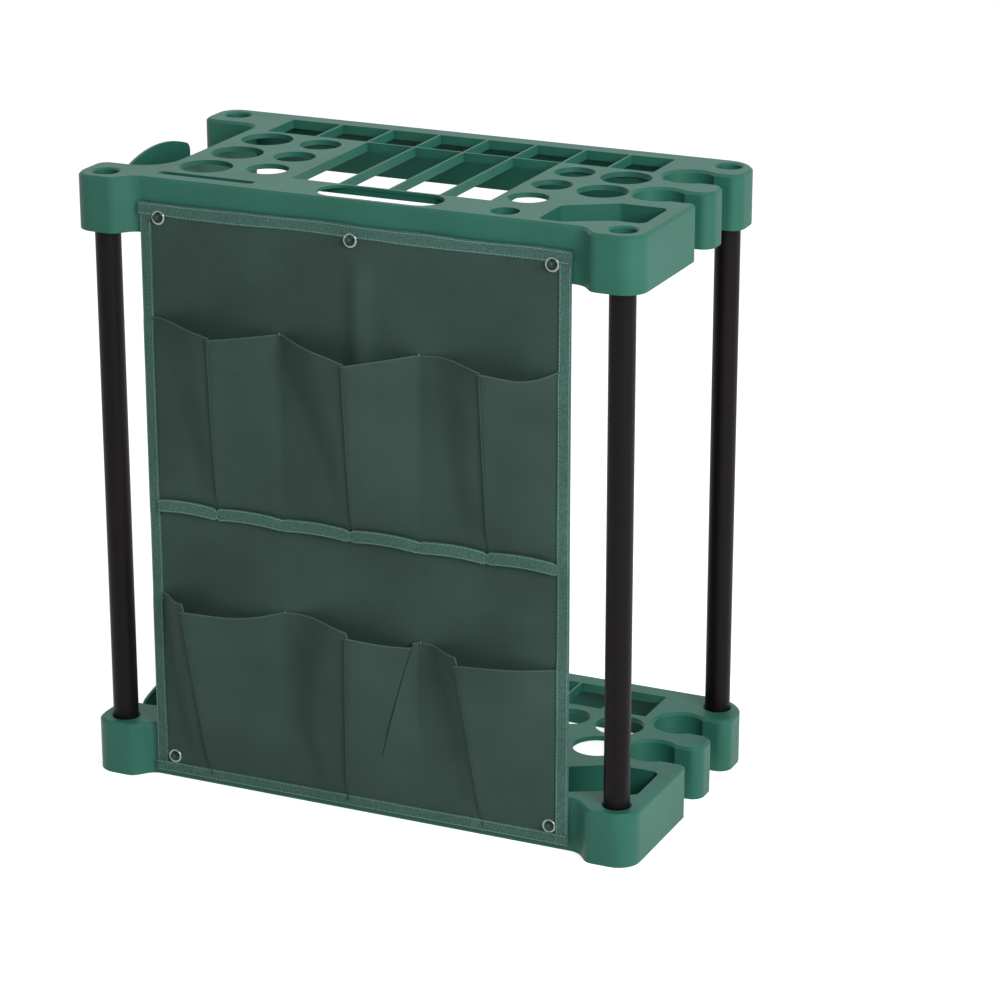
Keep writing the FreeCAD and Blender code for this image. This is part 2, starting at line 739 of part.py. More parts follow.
def hook_solids():
    """A hanger for a coiled hose in the left notch: an arched saddle and its upright lip."""
    middle = size("hook_middle_y")
    outer = size("hook_arc")
    centre_z = deck_top - size("hook_drop") - outer
    saddle_top = outer - size("hook_rise")
    saddle_foot = saddle_top - size("hook_saddle")
    lip_face = -half_length + size("hook_inset")
    half_width = size("hook_width") / 2

    lip = free_sketch("hook_lip", lip_face, "side")
    add_arched_band(lip, middle, centre_z, outer, saddle_foot, half_width)
    saddle = free_sketch("hook_saddle", lip_face, "side")
    add_arched_band(saddle, middle, centre_z, saddle_top, saddle_foot,
                    half_width - size("hook_corner"))
    length = size("notch_wall") - size("hook_inset") + wall / 2
    return [extrude(lip, size("hook_lip")), extrude(saddle, length)]


def hook_corner_edges():
    """Picks the two upper corners of the hanger lip."""
    middle = size("hook_middle_y").number
    outer, half = size("hook_arc").number, size("hook_width").number / 2
    centre_z = deck_top.number - size("hook_drop").number - outer
    corner_z = centre_z + math.sqrt(outer ** 2 - half ** 2)

    def chosen(edge):
        box = edge.BoundBox
        return (abs(box.XLength - size("hook_lip").number) < 0.01
                and abs(box.ZMin - corner_z) < 0.01 and abs(box.ZMax - corner_z) < 0.01
                and abs(abs(box.YMin - middle) - half) < 0.01)
    return chosen


def socket_mouth(edge):
    """True for the rim of a tube socket on the deck."""
    bore = size("tube_diameter") + size("socket_clearance")
    on_deck = abs(edge.BoundBox.ZMin - deck_top.number) < 0.01
    circle = isinstance(edge.Curve, Part.Circle) and edge.isClosed()
    return on_deck and circle and abs(edge.Curve.Radius - bore.number / 2) < 0.01


def make_moulding():
    """The moulding that both trays are made from, with its foot at height 0."""
    block = new_body("tray_block")
    cut_outline(block)
    shell_below(block)
    solids = [block] + socket_solids() + cell_walls() + bin_solid() + hook_solids()
    openings = socket_bores() + cell_cuts() + hole_cuts() + bin_hollow()
    whole = join_solids("tray_solids", solids)
    holes = join_solids("tray_openings", openings)
    opened = cut_away("tray_opened", whole, holes)
    body = new_body("tray_moulding")
    body.BaseFeature = opened
    doc.recompute()
    bevel_edges(body, "socket_mouths", size("socket_lead"), socket_mouth)
    round_edges(body, "hook_corners", size("hook_corner"), hook_corner_edges())
    return body


def drilled_tray(label, moulding, foot, pegs, peg_height):
    """One tray: the moulding at its own height, with holes for the pouch pegs it carries."""
    sketch = free_sketch(label + "_peg_holes", front_wall + wall * 2, "front")
    for x in pegs:
        add_circle(sketch, x, peg_height - foot, size("peg_diameter"))
    tray = cut_away(label, moulding, extrude(sketch, wall * 3))
    tray.Label = label
    tray.setExpression(".Placement.Base.z", as_size(foot).text)
    return tray


depth_places = {}


def set_place(item, x, y, z, rotation=None):
    """Puts an object at a place that follows the sheet."""
    depth_places[item.Name] = as_size(y)
    if rotation is not None:
        item.Placement = FreeCAD.Placement(FreeCAD.Vector(), rotation)
    for axis, value in zip("xyz", (x, y, z)):
        item.setExpression(".Placement.Base." + axis, as_size(value).text)


def make_tube(label, x, y):
    """A steel tube that stands on the web of a lower socket and ends at an upper one."""
    body = new_body(label)
    sketch = new_sketch(body, label + "_ring")
    add_circle(sketch, 0, 0, size("tube_diameter"))
    add_circle(sketch, 0, 0, size("tube_diameter") - size("tube_wall") * 2)
    foot = deck_top - size("socket_depth")
    pad(body, sketch, size("rack_height") - foot * 2)
    set_place(body, x, y, foot)
    return body


FACING_FRONT = FreeCAD.Rotation(FreeCAD.Vector(1, 0, 0), 90)

tape = size("tape")
cloth = size("cloth")
cloth_rear = front_wall - size("tape_gap") - tape
cloth_front = cloth_rear - cloth
pouch_foot, pouch_top = size("pouch_foot"), from_top("pouch_drop")
pouch_left, pouch_right = from_left("pouch_left"), from_right("pouch_right")
inner_foot = pouch_foot + size("tape_width")
row_ends = (pouch_left + size("tape_width"), pouch_right - size("tape_width"))
hang = (size("eyelet_bore") - size("peg_diameter")) / 2 - size("hang_gap")

peg_low, peg_high = size("peg_rise"), from_top("peg_drop")
peg_left, peg_right = from_left("peg_left"), from_right("peg_right")
PEGS = (
    ("top_left", peg_left, peg_high),
    ("top_middle", size("peg_middle"), peg_high),
    ("top_right", peg_right, peg_high),
    ("bottom_left", peg_left, peg_low),
    ("bottom_right", peg_right, peg_low),
)


def make_peg(label, x, z):
    """A push-in peg: a flange behind the front wall, and a shank that reaches past the cloth."""
    body = new_body(label)
    flange = size("peg_flange_width")
    sketch = new_sketch(body, label + "_flange")
    add_circle(sketch, 0, 0, size("peg_flange"))
    pad(body, sketch, flange)
    sketch = new_sketch(body, label + "_shank", offset=flange)
    add_circle(sketch, 0, 0, size("peg_diameter"))
    length = wall + size("tape_gap") + tape * 2 + cloth + size("peg_reach")
    pad(body, sketch, length)
    bevel_edges(body, label + "_tip", size("peg_bevel"), at_height(flange + length))
    set_place(body, x, front_wall + wall + flange, z, FACING_FRONT)
    return body


def make_eyelet(label, x, z, stack):
    """A rolled metal eyelet. The stack is the cloth in front of the pouch's back cloth."""
    body = new_body(label)
    bore, rim = size("eyelet_bore") / 2, size("eyelet_rim") / 2
    roll = size("eyelet_roll")
    sketch = new_sketch(body, label + "_profile", "XZ_Plane")
    add_outline(sketch, [(bore, 0, 0), (rim, 0, 0), (rim - roll, roll, 0), (bore + roll, roll, 0)])
    settle(sketch)
    feature = body.newObject("PartDesign::Revolution", label + "_turn")
    feature.Profile = sketch
    feature.ReferenceAxis = (sketch, ["V_Axis"])
    feature.Angle = 360
    set_place(body, x, cloth_front - stack, z - hang, FACING_FRONT)
    return body


def make_box(name, x, y, z):
    """A box from its low and high ends along each axis."""
    box = doc.addObject("Part::Box", name)
    for side, (low, high) in zip(("Length", "Width", "Height"), (x, y, z)):
        box.setExpression(side, (as_size(high) - as_size(low)).text)
    set_place(box, x[0], y[0], z[0])
    return box


def eyelet_holes():
    """Round holes through every layer of the pouch, one behind each eyelet."""
    sketch = free_sketch("eyelet_holes", cloth_rear + tape * 2, "front")
    for place, x, z in PEGS:
        add_circle(sketch, x, z - hang, size("eyelet_bore"))
    holes = extrude(sketch, cloth * 2 + tape * 4)
    sketch = free_sketch("rim_seats", cloth_front - cloth, "front")
    for place, x, z in PEGS:
        add_circle(sketch, x, z - hang, size("eyelet_rim") + size("rim_play"))
    return join_solids("eyelet_room", [holes, extrude(sketch, size("lower_pocket_reach"))])


def make_pouch_cloth(holes):
    """The flat back cloth and the binding tapes folded round its edges."""
    whole = make_box("pouch_slab", (pouch_left + tape, pouch_right - tape),
                     (cloth_front, cloth_rear), (pouch_foot + tape, pouch_top - tape))
    back = cut_away("pouch_back", whole, holes)
    back.Label = "pouch_back"
    width = size("tape_width")
    thick = (cloth_front - tape, cloth_rear + tape)
    inner_top = pouch_top - width
    middle_foot = size("middle_tape_foot")
    across = (pouch_left, pouch_right)
    upright = (inner_foot, inner_top)
    places = {
        "tape_top": (across, thick, (inner_top, pouch_top)),
        "tape_bottom": (across, thick, (pouch_foot, inner_foot)),
        "tape_left": ((pouch_left, pouch_left + width), thick, upright),
        "tape_right": ((pouch_right - width, pouch_right), thick, upright),
        "tape_middle": (row_ends,
                        (cloth_front - cloth - tape, cloth_front),
                        (middle_foot, middle_foot + size("middle_tape_width"))),
    }
    room = join_solids("tape_room", [whole, holes])
    tapes = []
    for label, ends in places.items():
        strip = make_box(label + "_strip", *ends)
        if label == "tape_middle":
            strip.Label = label
            tapes.append(strip)
            continue
        item = cut_away(label, strip, room)
        item.Label = label
        tapes.append(item)
    return [back] + tapes


def pleat_line(z, ridges, reach, y):
    """The corners of a pocket row at one height, from its left end to its right."""
    land = size("seam_land").number
    seams = [place.number for place in (row_ends[0], size("seam_second"), size("seam_third"),
                                        row_ends[1])]
    corners = [(seams[0], y)]
    for left, right, ridge in zip(seams, seams[1:], ridges):
        corners += [(left + land, y), (ridge, y - reach), (right - land, y)]
    corners.append((seams[-1], y))
    return [FreeCAD.Vector(x, place, z) for x, place in corners]


def make_pocket_row(label, foot, top, reach, foot_ridges, top_ridges, holes):
    """Three pleated pockets sewn from one ribbon: flat at the foot, standing out at the top."""
    sides = []
    for y in (cloth_front.number - cloth.number, cloth_front.number):
        low = pleat_line(foot.number, foot_ridges, size("pocket_foot_reach").number, y)
        high = pleat_line(top.number, top_ridges, reach.number, y)
        sides.append((low, high))
    loops = []
    for low, high in sides:
        for number in range(len(low) - 1):
            left_low, right_low = low[number], low[number + 1]
            left_high, right_high = high[number], high[number + 1]
            if left_high.y < right_high.y:
                loops.append((left_low, right_low, left_high))
                loops.append((right_low, right_high, left_high))
            else:
                loops.append((left_low, right_low, right_high))
                loops.append((left_low, right_high, left_high))
    (front_low, front_high), (rear_low, rear_high) = sides
    loops.append(front_low + rear_low[::-1])
    loops.append(front_high + rear_high[::-1])
    for end in (0, -1):
        loops.append((front_low[end], rear_low[end], rear_high[end], front_high[end]))
    faces = [Part.Face(Part.makePolygon(list(loop) + [loop[0]])) for loop in loops]
    ribbon = doc.addObject("Part::Feature", label + "_ribbon")
    ribbon.Shape = Part.makeSolid(Part.makeShell(faces))
    if holes is None:
        ribbon.Label = label
        return ribbon
    item = cut_away(label, ribbon, holes)
    item.Label = label
    return item


def ridge_places(row, level):
    """Where the three folds of a row stand along X at its foot or its top."""
    ways = (from_left, size, from_right)
    return [way(f"{row}_ridge_{number}_{level}").number for number, way in enumerate(ways, 1)]


def make_pocket_rows(holes):
    upper = make_pocket_row("pocket_row_upper",
                            size("middle_tape_foot") + size("middle_tape_width"),
                            from_top("upper_pocket_drop"), size("upper_pocket_reach"),
                            ridge_places("upper", "foot"), ridge_places("upper", "top"), None)
    lower = make_pocket_row("pocket_row_lower", inner_foot,
                            size("lower_pocket_top"), size("lower_pocket_reach"),
                            ridge_places("lower", "foot"), ridge_places("lower", "top"), holes)
    return [upper, lower]


def centre_depth(items):
    """Moves every sub-part so that the origin is under the middle of the whole, pouch included."""
    pocket_front = -cloth_front + cloth + size("upper_pocket_reach")
    shift = (pocket_front - half_depth) / 2
    for item in items:
        y = depth_places.get(item.Name, as_size(0)) + shift
        item.setExpression(".Placement.Base.y", y.text)


def check(items):
    """Stops where an object failed, or where a sub-part has no sound solid."""
    doc.recompute()
    for item in doc.Objects:
        if "Invalid" in item.State or "Error" in item.State:
            raise ValueError(f"{item.Name} failed: {item.State}")
    for item in items:
        if item.Shape.isNull() or not item.Shape.isValid() or not item.Shape.Solids:
            raise ValueError(f"{item.Label} is not a sound solid")


def build():
    moulding = make_moulding()
    upper_foot = size("rack_height") - deck_top
    upper_pegs = [x for place, x, z in PEGS if z is peg_high]
    lower_pegs = [x for place, x, z in PEGS if z is peg_low]
    items = [
        drilled_tray("upper_tray", moulding, upper_foot, upper_pegs, peg_high),
        drilled_tray("lower_tray", moulding, as_size(0), lower_pegs, peg_low),
    ]
    for sign_x, sign_y in corner_signs():
        name = f"tube_{'front' if sign_y < 0 else 'rear'}_{'left' if sign_x < 0 else 'right'}"
        items.append(make_tube(name, tube_x * sign_x, tube_y * sign_y))
    holes = eyelet_holes()
    items += make_pouch_cloth(holes)
    items += make_pocket_rows(holes)
    for place, x, z in PEGS:
        stack = tape if place.startswith("top") else cloth
        items.append(make_peg("peg_" + place, x, z))
        items.append(make_eyelet("eyelet_" + place, x, z, stack))
    centre_depth(items)
    check(items)
    os.makedirs("parts", exist_ok=True)
    for item in items:
        item.Shape.exportStep(f"parts/{item.Label}.step")
        print(item.Label, len(item.Shape.Solids), round(item.Shape.Volume, 1))


build()
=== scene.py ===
# %% [markdown]
# A freestanding garden tool rack: two moulded trays on four steel tubes, with a cloth pouch
# hung in front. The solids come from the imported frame, and this file gives them their looks.
# Two kinds of piece need work here. The trays get the soft edges that every moulding has, and
# the pouch gets real cloth, with pleats, binding tape, stitches and metal eyelets.

# %% Load the frame
import math
import bmesh
import bpy
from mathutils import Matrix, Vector, noise


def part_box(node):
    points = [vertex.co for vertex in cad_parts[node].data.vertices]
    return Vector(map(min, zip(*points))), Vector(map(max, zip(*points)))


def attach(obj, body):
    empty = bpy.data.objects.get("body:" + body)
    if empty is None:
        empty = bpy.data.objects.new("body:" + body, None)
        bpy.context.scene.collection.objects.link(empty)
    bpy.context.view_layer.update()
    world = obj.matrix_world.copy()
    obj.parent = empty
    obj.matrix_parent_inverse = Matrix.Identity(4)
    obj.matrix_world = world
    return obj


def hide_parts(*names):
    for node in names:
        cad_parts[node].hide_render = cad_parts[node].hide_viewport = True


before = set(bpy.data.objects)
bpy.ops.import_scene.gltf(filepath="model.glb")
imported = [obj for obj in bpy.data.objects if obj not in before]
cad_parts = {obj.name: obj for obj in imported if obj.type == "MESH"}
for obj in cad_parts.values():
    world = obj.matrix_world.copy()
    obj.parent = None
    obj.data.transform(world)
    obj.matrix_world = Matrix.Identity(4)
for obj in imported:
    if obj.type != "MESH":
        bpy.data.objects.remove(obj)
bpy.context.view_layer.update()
MM = 0.001
scene = bpy.context.scene

# %% [markdown]
# The photograph was taken from the right of the front, a little above the top tray. A long lens
# keeps the uprights nearly parallel, so the camera stands back and is zoomed in. The focal length
# is worked out as a share of the sensor's width.

# %% Camera
CAMERA_PLACE = Vector((1.403, -2.889, 1.392))
CAMERA_TURN = math.radians(24.46)
CAMERA_DIP = math.radians(19.11)
FOCAL_SHARE = 3.476
SENSOR = 36

camera_data = bpy.data.cameras.new("studio_camera")
camera_data.sensor_width = SENSOR
camera_data.lens = FOCAL_SHARE * SENSOR
camera = bpy.data.objects.new("studio_camera", camera_data)
camera.location = CAMERA_PLACE
camera.rotation_euler = (math.pi / 2 - CAMERA_DIP, 0, CAMERA_TURN)
scene.collection.objects.link(camera)
scene.camera = camera
print("lens", round(camera_data.lens, 1), "mm")

# %% [markdown]
# Every finish is a small node tree. One helper adds a node with its settings and links, and one
# function turns the hex colour that a designer would write into the linear colour that the
# shader wants.

# %% Colour and node helpers
def linear(code):
    """Turns a hex colour into linear red, green, blue and alpha, by the sRGB standard."""
    parts = [int(code[k:k + 2], 16) / 255 for k in (1, 3, 5)]
    return [p / 12.92 if p <= 0.04045 else ((p + 0.055) / 1.055) ** 2.4 for p in parts] + [1]


def add_node(material, kind, inputs=None, **settings):
    """Adds a node. A value that is a socket is linked, any other is set on the input."""
    tree = material.node_tree
    made = tree.nodes.new(kind)
    for name, value in settings.items():
        setattr(made, name, value)
    for name, value in (inputs or {}).items():
        if isinstance(value, bpy.types.NodeSocket):
            tree.links.new(value, made.inputs[name])
        else:
            made.inputs[name].default_value = value
    return made


def new_material(name, **shader):
    """Makes a material and returns it with its shader. The keywords are shader inputs."""
    material = bpy.data.materials.new(name)
    material.use_nodes = True
    surface = material.node_tree.nodes["Principled BSDF"]
    for key, value in shader.items():
        surface.inputs[key.replace("_", " ")].default_value = value
    return material, surface


def feed(material, source, target):
    """Links an output socket to an input socket."""
    material.node_tree.links.new(source, target)


def object_place(material):
    """The point on the surface in metres, before any pose moves it."""
    return add_node(material, "ShaderNodeTexCoord").outputs["Object"]


print("the trays' green in linear:", [round(v, 3) for v in linear("#296959")])

# %% [markdown]
# The trays and pegs are injection-moulded polypropylene. The mould is spark-eroded, which leaves
# a fine grain of about 0.5 mm that breaks up the gloss. The colour is in the plastic, and varies a
# little where the melt flowed. The pegs are drawn a darker green than the trays, as painted shade
# for the hollow centres of the eyelets. Polypropylene has an IOR of about 1.49.

# %% Moulded polypropylene
GRAIN = 0.5 * MM
GRAIN_DEPTH = 0.1 * MM
FLOW = 60 * MM


def moulded_polypropylene(name, dark, light):
    material, surface = new_material(name, Roughness=0.5, IOR=1.49, Specular_IOR_Level=0.3)
    place = object_place(material)
    flow = add_node(material, "ShaderNodeTexNoise",
                    {"Vector": place, "Scale": 1 / FLOW, "Detail": 4})
    tint = add_node(material, "ShaderNodeValToRGB", {"Fac": flow.outputs["Fac"]})
    for stop, position, code in zip(tint.color_ramp.elements, (0.3, 0.7), (dark, light)):
        stop.position = position
        stop.color = linear(code)
    feed(material, tint.outputs["Color"], surface.inputs["Base Color"])
    grain = add_node(material, "ShaderNodeTexNoise",
                     {"Vector": place, "Scale": 1 / GRAIN, "Detail": 2})
    bump = add_node(material, "ShaderNodeBump", {"Height": grain.outputs["Fac"], "Strength": 0.12,
                                                 "Distance": GRAIN_DEPTH})
    feed(material, bump.outputs["Normal"], surface.inputs["Normal"])
    return material


PLASTIC = moulded_polypropylene("moulded_polypropylene", "#235F50", "#296959")
# Painted shade: the pegs' greens are darker than the trays', standing in for shade inside the
# eyelets.
PEG_PLASTIC = moulded_polypropylene("peg_polypropylene_painted_shade", "#1B352E", "#213E36")
print("grain scale", round(1 / GRAIN), "per metre")

# %% [markdown]
# The tubes are mild steel with a black powder coat. Powder melts into a skin with a slight orange
# peel, about 2 mm from crest to crest, and a satin gloss. Its black clouds a little, in patches
# of about 83 mm.

# %% Powder-coated steel
PEEL = 2 * MM
PEEL_DEPTH = 0.1 * MM
COAT_PATCH = 1 / 12


def powder_coated_steel():
    material, surface = new_material("powder_coated_steel", Roughness=0.42, IOR=1.52,
                                     Specular_IOR_Level=0.1)
    place = object_place(material)
    cloud = add_node(material, "ShaderNodeTexNoise",
                     {"Vector": place, "Scale": 1 / COAT_PATCH, "Detail": 3})
    tint = add_node(material, "ShaderNodeValToRGB", {"Fac": cloud.outputs["Fac"]})
    for stop, code in zip(tint.color_ramp.elements, ("#0D090B", "#130E11")):
        stop.color = linear(code)
    feed(material, tint.outputs["Color"], surface.inputs["Base Color"])
    peel = add_node(material, "ShaderNodeTexNoise",
                    {"Vector": place, "Scale": 1 / PEEL, "Detail": 1})
    bump = add_node(material, "ShaderNodeBump", {"Height": peel.outputs["Fac"], "Strength": 0.25,
                                                 "Distance": PEEL_DEPTH})
    feed(material, bump.outputs["Normal"], surface.inputs["Normal"])
    return material


STEEL = powder_coated_steel()
print("orange peel", PEEL / MM, "mm")

# %% [markdown]
# The pouch is woven polyester, coated on the back. Its threads are about 0.5 mm apart, which is
# finer than a pixel of the picture, so the weave is drawn at 1.2 mm. Warp and weft are two sets
# of waves that cross, and a broad noise gives the faint clouding of dyed cloth, in patches of
# about 110 mm. The sheen is the soft light that fibres catch at a shallow angle.
# A wave texture of scale 1 repeats every 0.314 m, which turns a thread's pitch into its scale.

# %% Woven polyester
THREAD = 1.2 * MM
THREAD_DEPTH = 0.2 * MM
FLECK = 2.5 * MM
DYE_PATCH = 1 / 9
WAVE_REPEAT = 0.314


def woven(name, dark, light, pitch, relief, sheen, fleck=0):
    """Woven cloth. A fleck adds that much light and dark mottling, as on a coarse band."""
    material, surface = new_material(name, Roughness=0.72, IOR=1.46, Sheen_Weight=sheen,
                                     Sheen_Roughness=0.5, Specular_IOR_Level=0.15)
    place = object_place(material)
    cloud = add_node(material, "ShaderNodeTexNoise", {"Vector": place, "Scale": 1 / DYE_PATCH,
                                                      "Detail": 5, "Roughness": 0.6})
    tint = add_node(material, "ShaderNodeValToRGB", {"Fac": cloud.outputs["Fac"]})
    for stop, position, code in zip(tint.color_ramp.elements, (0.32, 0.68), (dark, light)):
        stop.position = position
        stop.color = linear(code)
    threads = []
    for direction in ("X", "Z"):
        wave = add_node(material, "ShaderNodeTexWave", {"Vector": place,
                                                        "Scale": WAVE_REPEAT / pitch,
                                                        "Distortion": 0.6, "Detail": 1},
                        wave_type="BANDS", bands_direction=direction)
        threads.append(wave.outputs["Fac"])
    weave = add_node(material, "ShaderNodeMath", {0: threads[0], 1: threads[1]}, operation="ADD")
    shade = add_node(material, "ShaderNodeMapRange", {"Value": weave.outputs[0], "From Max": 2,
                                                      "To Min": 0.86, "To Max": 1.1})
    colour = add_node(material, "ShaderNodeMixRGB", {"Fac": 1, "Color1": tint.outputs["Color"],
                                                     "Color2": shade.outputs[0]},
                      blend_type="MULTIPLY")
    mottle = add_node(material, "ShaderNodeTexNoise", {"Vector": place, "Scale": 1 / FLECK,
                                                       "Detail": 3, "Roughness": 0.7})
    spread = add_node(material, "ShaderNodeMapRange", {"Value": mottle.outputs["Fac"],
                                                       "From Min": 0.35, "From Max": 0.65,
                                                       "To Min": 1 - fleck, "To Max": 1 + fleck})
    flecked = add_node(material, "ShaderNodeMixRGB", {"Fac": 1, "Color1": colour.outputs["Color"],
                                                      "Color2": spread.outputs[0]},
                       blend_type="MULTIPLY")
    feed(material, flecked.outputs["Color"], surface.inputs["Base Color"])
    bump = add_node(material, "ShaderNodeBump", {"Height": weave.outputs[0], "Strength": relief,
                                                 "Distance": THREAD_DEPTH})
    feed(material, bump.outputs["Normal"], surface.inputs["Normal"])
    return material


CLOTH = woven("woven_polyester", "#31453E", "#3B514A", THREAD, 0.25, 0.04)
TAPE = woven("woven_binding_tape", "#3D5F57", "#486B63", THREAD * 1.5, 0.5, 0.12, 0.22)
THREAD_FINISH = woven("polyester_thread", "#6A9185", "#7FA699", THREAD, 0.1, 0.1)
print("weave drawn at", THREAD / MM, "mm")

# %% [markdown]
# The eyelets are brass with a nickel plate. A metal has no diffuse colour, so its base colour is
# its reflection, and only the lamps still glint on it. That base colour is a darkened, slightly
# green
# grey: painted reflection of dark surroundings and of the green cloth round the eyelets. Handling
# leaves fine scratches about 1 mm apart, which the roughness carries.

# %% Nickel-plated brass
SCRATCH = 1 / 900


def nickel_painted_reflection():
    material, surface = new_material("nickel_painted_reflection", Metallic=1.0)
    # Painted reflection: a darker and greener grey than the nickel's own colour.
    surface.inputs["Base Color"].default_value = linear("#8A918E")
    scuff = add_node(material, "ShaderNodeTexNoise", {"Vector": object_place(material),
                                                      "Scale": 1 / SCRATCH, "Detail": 3})
    rough = add_node(material, "ShaderNodeMapRange", {"Value": scuff.outputs["Fac"],
                                                      "To Min": 0.16, "To Max": 0.34})
    feed(material, rough.outputs[0], surface.inputs["Roughness"])
    return material


NICKEL = nickel_painted_reflection()
print("finish:", NICKEL.name)

# %% [markdown]
# New pieces are meshes made in code. A curve with a bevel could make the round strands, but the
# tapes and eyelets have sections of their own, so one helper joins closed outlines along a list
# of stations. All new pieces but the trays belong to the pouch and ride on it.

# %% Mesh helpers
def turn_outwards(piece):
    """Turns all faces of a piece outwards."""
    work = bmesh.new()
    work.from_mesh(piece.data)
    bmesh.ops.recalc_face_normals(work, faces=work.faces)
    work.to_mesh(piece.data)
    work.free()


def new_piece(name, points, faces, material, smooth=40):
    """A piece of the pouch from points in metres, smooth up to an angle in degrees."""
    mesh = bpy.data.meshes.new(name)
    mesh.from_pydata([tuple(p) for p in points], [], faces)
    mesh.materials.append(material)
    mesh.shade_smooth()
    mesh.set_sharp_from_angle(angle=math.radians(smooth))
    piece = bpy.data.objects.new(name, mesh)
    scene.collection.objects.link(piece)
    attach(piece, "pouch")
    turn_outwards(piece)
    return piece


def sweep(rings, loop=False):
    """Joins rings of points, each a closed outline, into points and faces."""
    count = len(rings[0])
    points = [p for ring in rings for p in ring]
    faces = []
    for span in range(len(rings) if loop else len(rings) - 1):
        near, far = span * count, (span + 1) % len(rings) * count
        for k in range(count):
            after = (k + 1) % count
            faces.append((near + k, near + after, far + after, far + k))
    if not loop:
        faces.append(tuple(range(count))[::-1])
        faces.append(tuple(len(points) - count + k for k in range(count)))
    return points, faces


print("faces of a three-sided rod:", len(sweep([[0, 1, 2], [3, 4, 5]])[1]))

# %% [markdown]
# No edge of a moulding is sharp: the tool that cuts the mould leaves a small radius, and the rims
# of the holes are rounded so that handles slide in. The frame's tray has crisp edges. A Bevel
# modifier would treat them all alike, so the edges are bevelled in code, where the rims on the
# deck can get the larger radius. The angle between its two faces tells a real edge from a facet
# of a round hole.

# %% Edges and rims
EDGE_RADIUS = 0.7 * MM
RIM_RADIUS = 1.5 * MM
BEVEL_ANGLE = math.radians(28)
RIM_ANGLE = math.radians(60)
SAME_LEVEL = 0.01 * MM
RIM_POINTS = 12
OUT_OF_ROUND = 1.5 * MM


def bevel_sharp(work, chosen, radius, steps):
    """Bevels the chosen edges of a bmesh where two faces meet at an angle."""
    edges = [e for e in work.edges
             if e.is_manifold and e.calc_face_angle(0) > BEVEL_ANGLE and chosen(e)]
    bmesh.ops.bevel(work, geom=edges, offset=radius, offset_type="OFFSET", segments=steps,
                    profile=0.5, affect="EDGES", clamp_overlap=True)
    return len(edges)


def rim_loops(work, top):
    """The round rims on the deck, as (centre, radius) pairs, largest first."""
    level = {v for v in work.verts if abs(v.co.z - top) < SAME_LEVEL}
    edges = dict.fromkeys(e for e in work.edges if e.verts[0] in level and e.verts[1] in level
                          and e.is_manifold and e.calc_face_angle(0) > RIM_ANGLE)
    loops = []
    while edges:
        edge = edges.popitem()[0]
        ring, ends = [edge.verts[0], edge.verts[1]], edge.verts[1]
        while True:
            following = [e for e in ends.link_edges if e in edges]
            if not following:
                break
            del edges[following[0]]
            ends = following[0].other_vert(ends)
            ring.append(ends)
        closed = ring.pop() == ring[0]
        points = [v.co for v in ring]
        middle = sum(points, Vector()) / len(points)
        reach = [(p - middle).length for p in points]
        if closed and len(points) > RIM_POINTS and max(reach) - min(reach) < OUT_OF_ROUND:
            loops.append((middle, sum(reach) / len(reach)))
    return sorted(loops, key=lambda item: -item[1])


print("edge radius", EDGE_RADIUS / MM, "mm, rim radius", RIM_RADIUS / MM, "mm")

# %% [markdown]
# Under the deck each round hole has a collar that steadies the handle. The collars are rings of
# the same plastic, which only show through the holes, so they are added here. The smallest hole
# takes a deeper one.
# The walls between the cells are shortened from below, because the ground shows through more of
# each cell than deep walls would leave open. Their lower edges all lie at one level, so moving
# the corners at that level is enough.

# %% Collars and cell walls
DECK = 3 * MM
COLLAR_DEPTH, DEEP_COLLAR = 5 * MM, 16 * MM
COLLAR_LAP, COLLAR_WALL = 1 * MM, 2.5 * MM
COLLAR_STEPS = 48
SMALL_HOLE = 15 * MM
CELL_WALL_FOOT, CELL_WALL_RISE = 16 * MM, 7 * MM


def turn_section(section, steps, place):
    """Turns (radius, along) pairs round an axis. The place makes a point from its three parts."""
    rings = []
    for step in range(steps):
        turn = math.tau * step / steps
        rings.append([place(r * math.cos(turn), r * math.sin(turn), far) for r, far in section])
    return sweep(rings, loop=True)


def collar(work, centre, inner, top):
    """Adds a ring below the deck to a bmesh."""
    depth = DEEP_COLLAR if inner < SMALL_HOLE else COLLAR_DEPTH
    high, low = top - DECK + COLLAR_LAP, top - depth
    soft = EDGE_RADIUS / 2
    outer = inner + COLLAR_WALL
    section = [(inner, high), (inner, low + soft), (inner + soft, low), (outer - soft, low),
               (outer, low + soft), (outer, high)]
    points, faces = turn_section(section, COLLAR_STEPS,
                                 lambda x, y, z: Vector((centre.x + x, centre.y + y, z)))
    made = [work.verts.new(p) for p in points]
    for face in faces:
        work.faces.new([made[k] for k in face])


def shorten_cell_walls(work, top):
    """Lifts the lower edges of the walls between the cells."""
    feet = [v for v in work.verts if abs(v.co.z - (top - CELL_WALL_FOOT)) < SAME_LEVEL]
    for vert in feet:
        vert.co.z += CELL_WALL_RISE
    print("lifted", len(feet), "corners, from", [round(min(v.co[k] for v in feet) / MM)
          for k in (0, 1)], "to", [round(max(v.co[k] for v in feet) / MM) for k in (0, 1)])


print("collars reach", COLLAR_DEPTH / MM, "and", DEEP_COLLAR / MM, "mm below the deck")

# %% [markdown]
# Both trays come from one mould. A CAD mesh has many thin triangles on its flats, and a bevel
# trips over them, so a copy of the mesh is welded and dissolved to clean flats first. The tube
# sockets are round too, but smaller than any hole for a handle, and they get no collar.

# %% Softened trays
WELD = 0.001 * MM
FLAT_ANGLE = math.radians(0.5)
SHARP_ANGLE = math.radians(50)
SMALLEST_COLLAR = 13 * MM
BELOW_RIM = RIM_RADIUS * 1.2


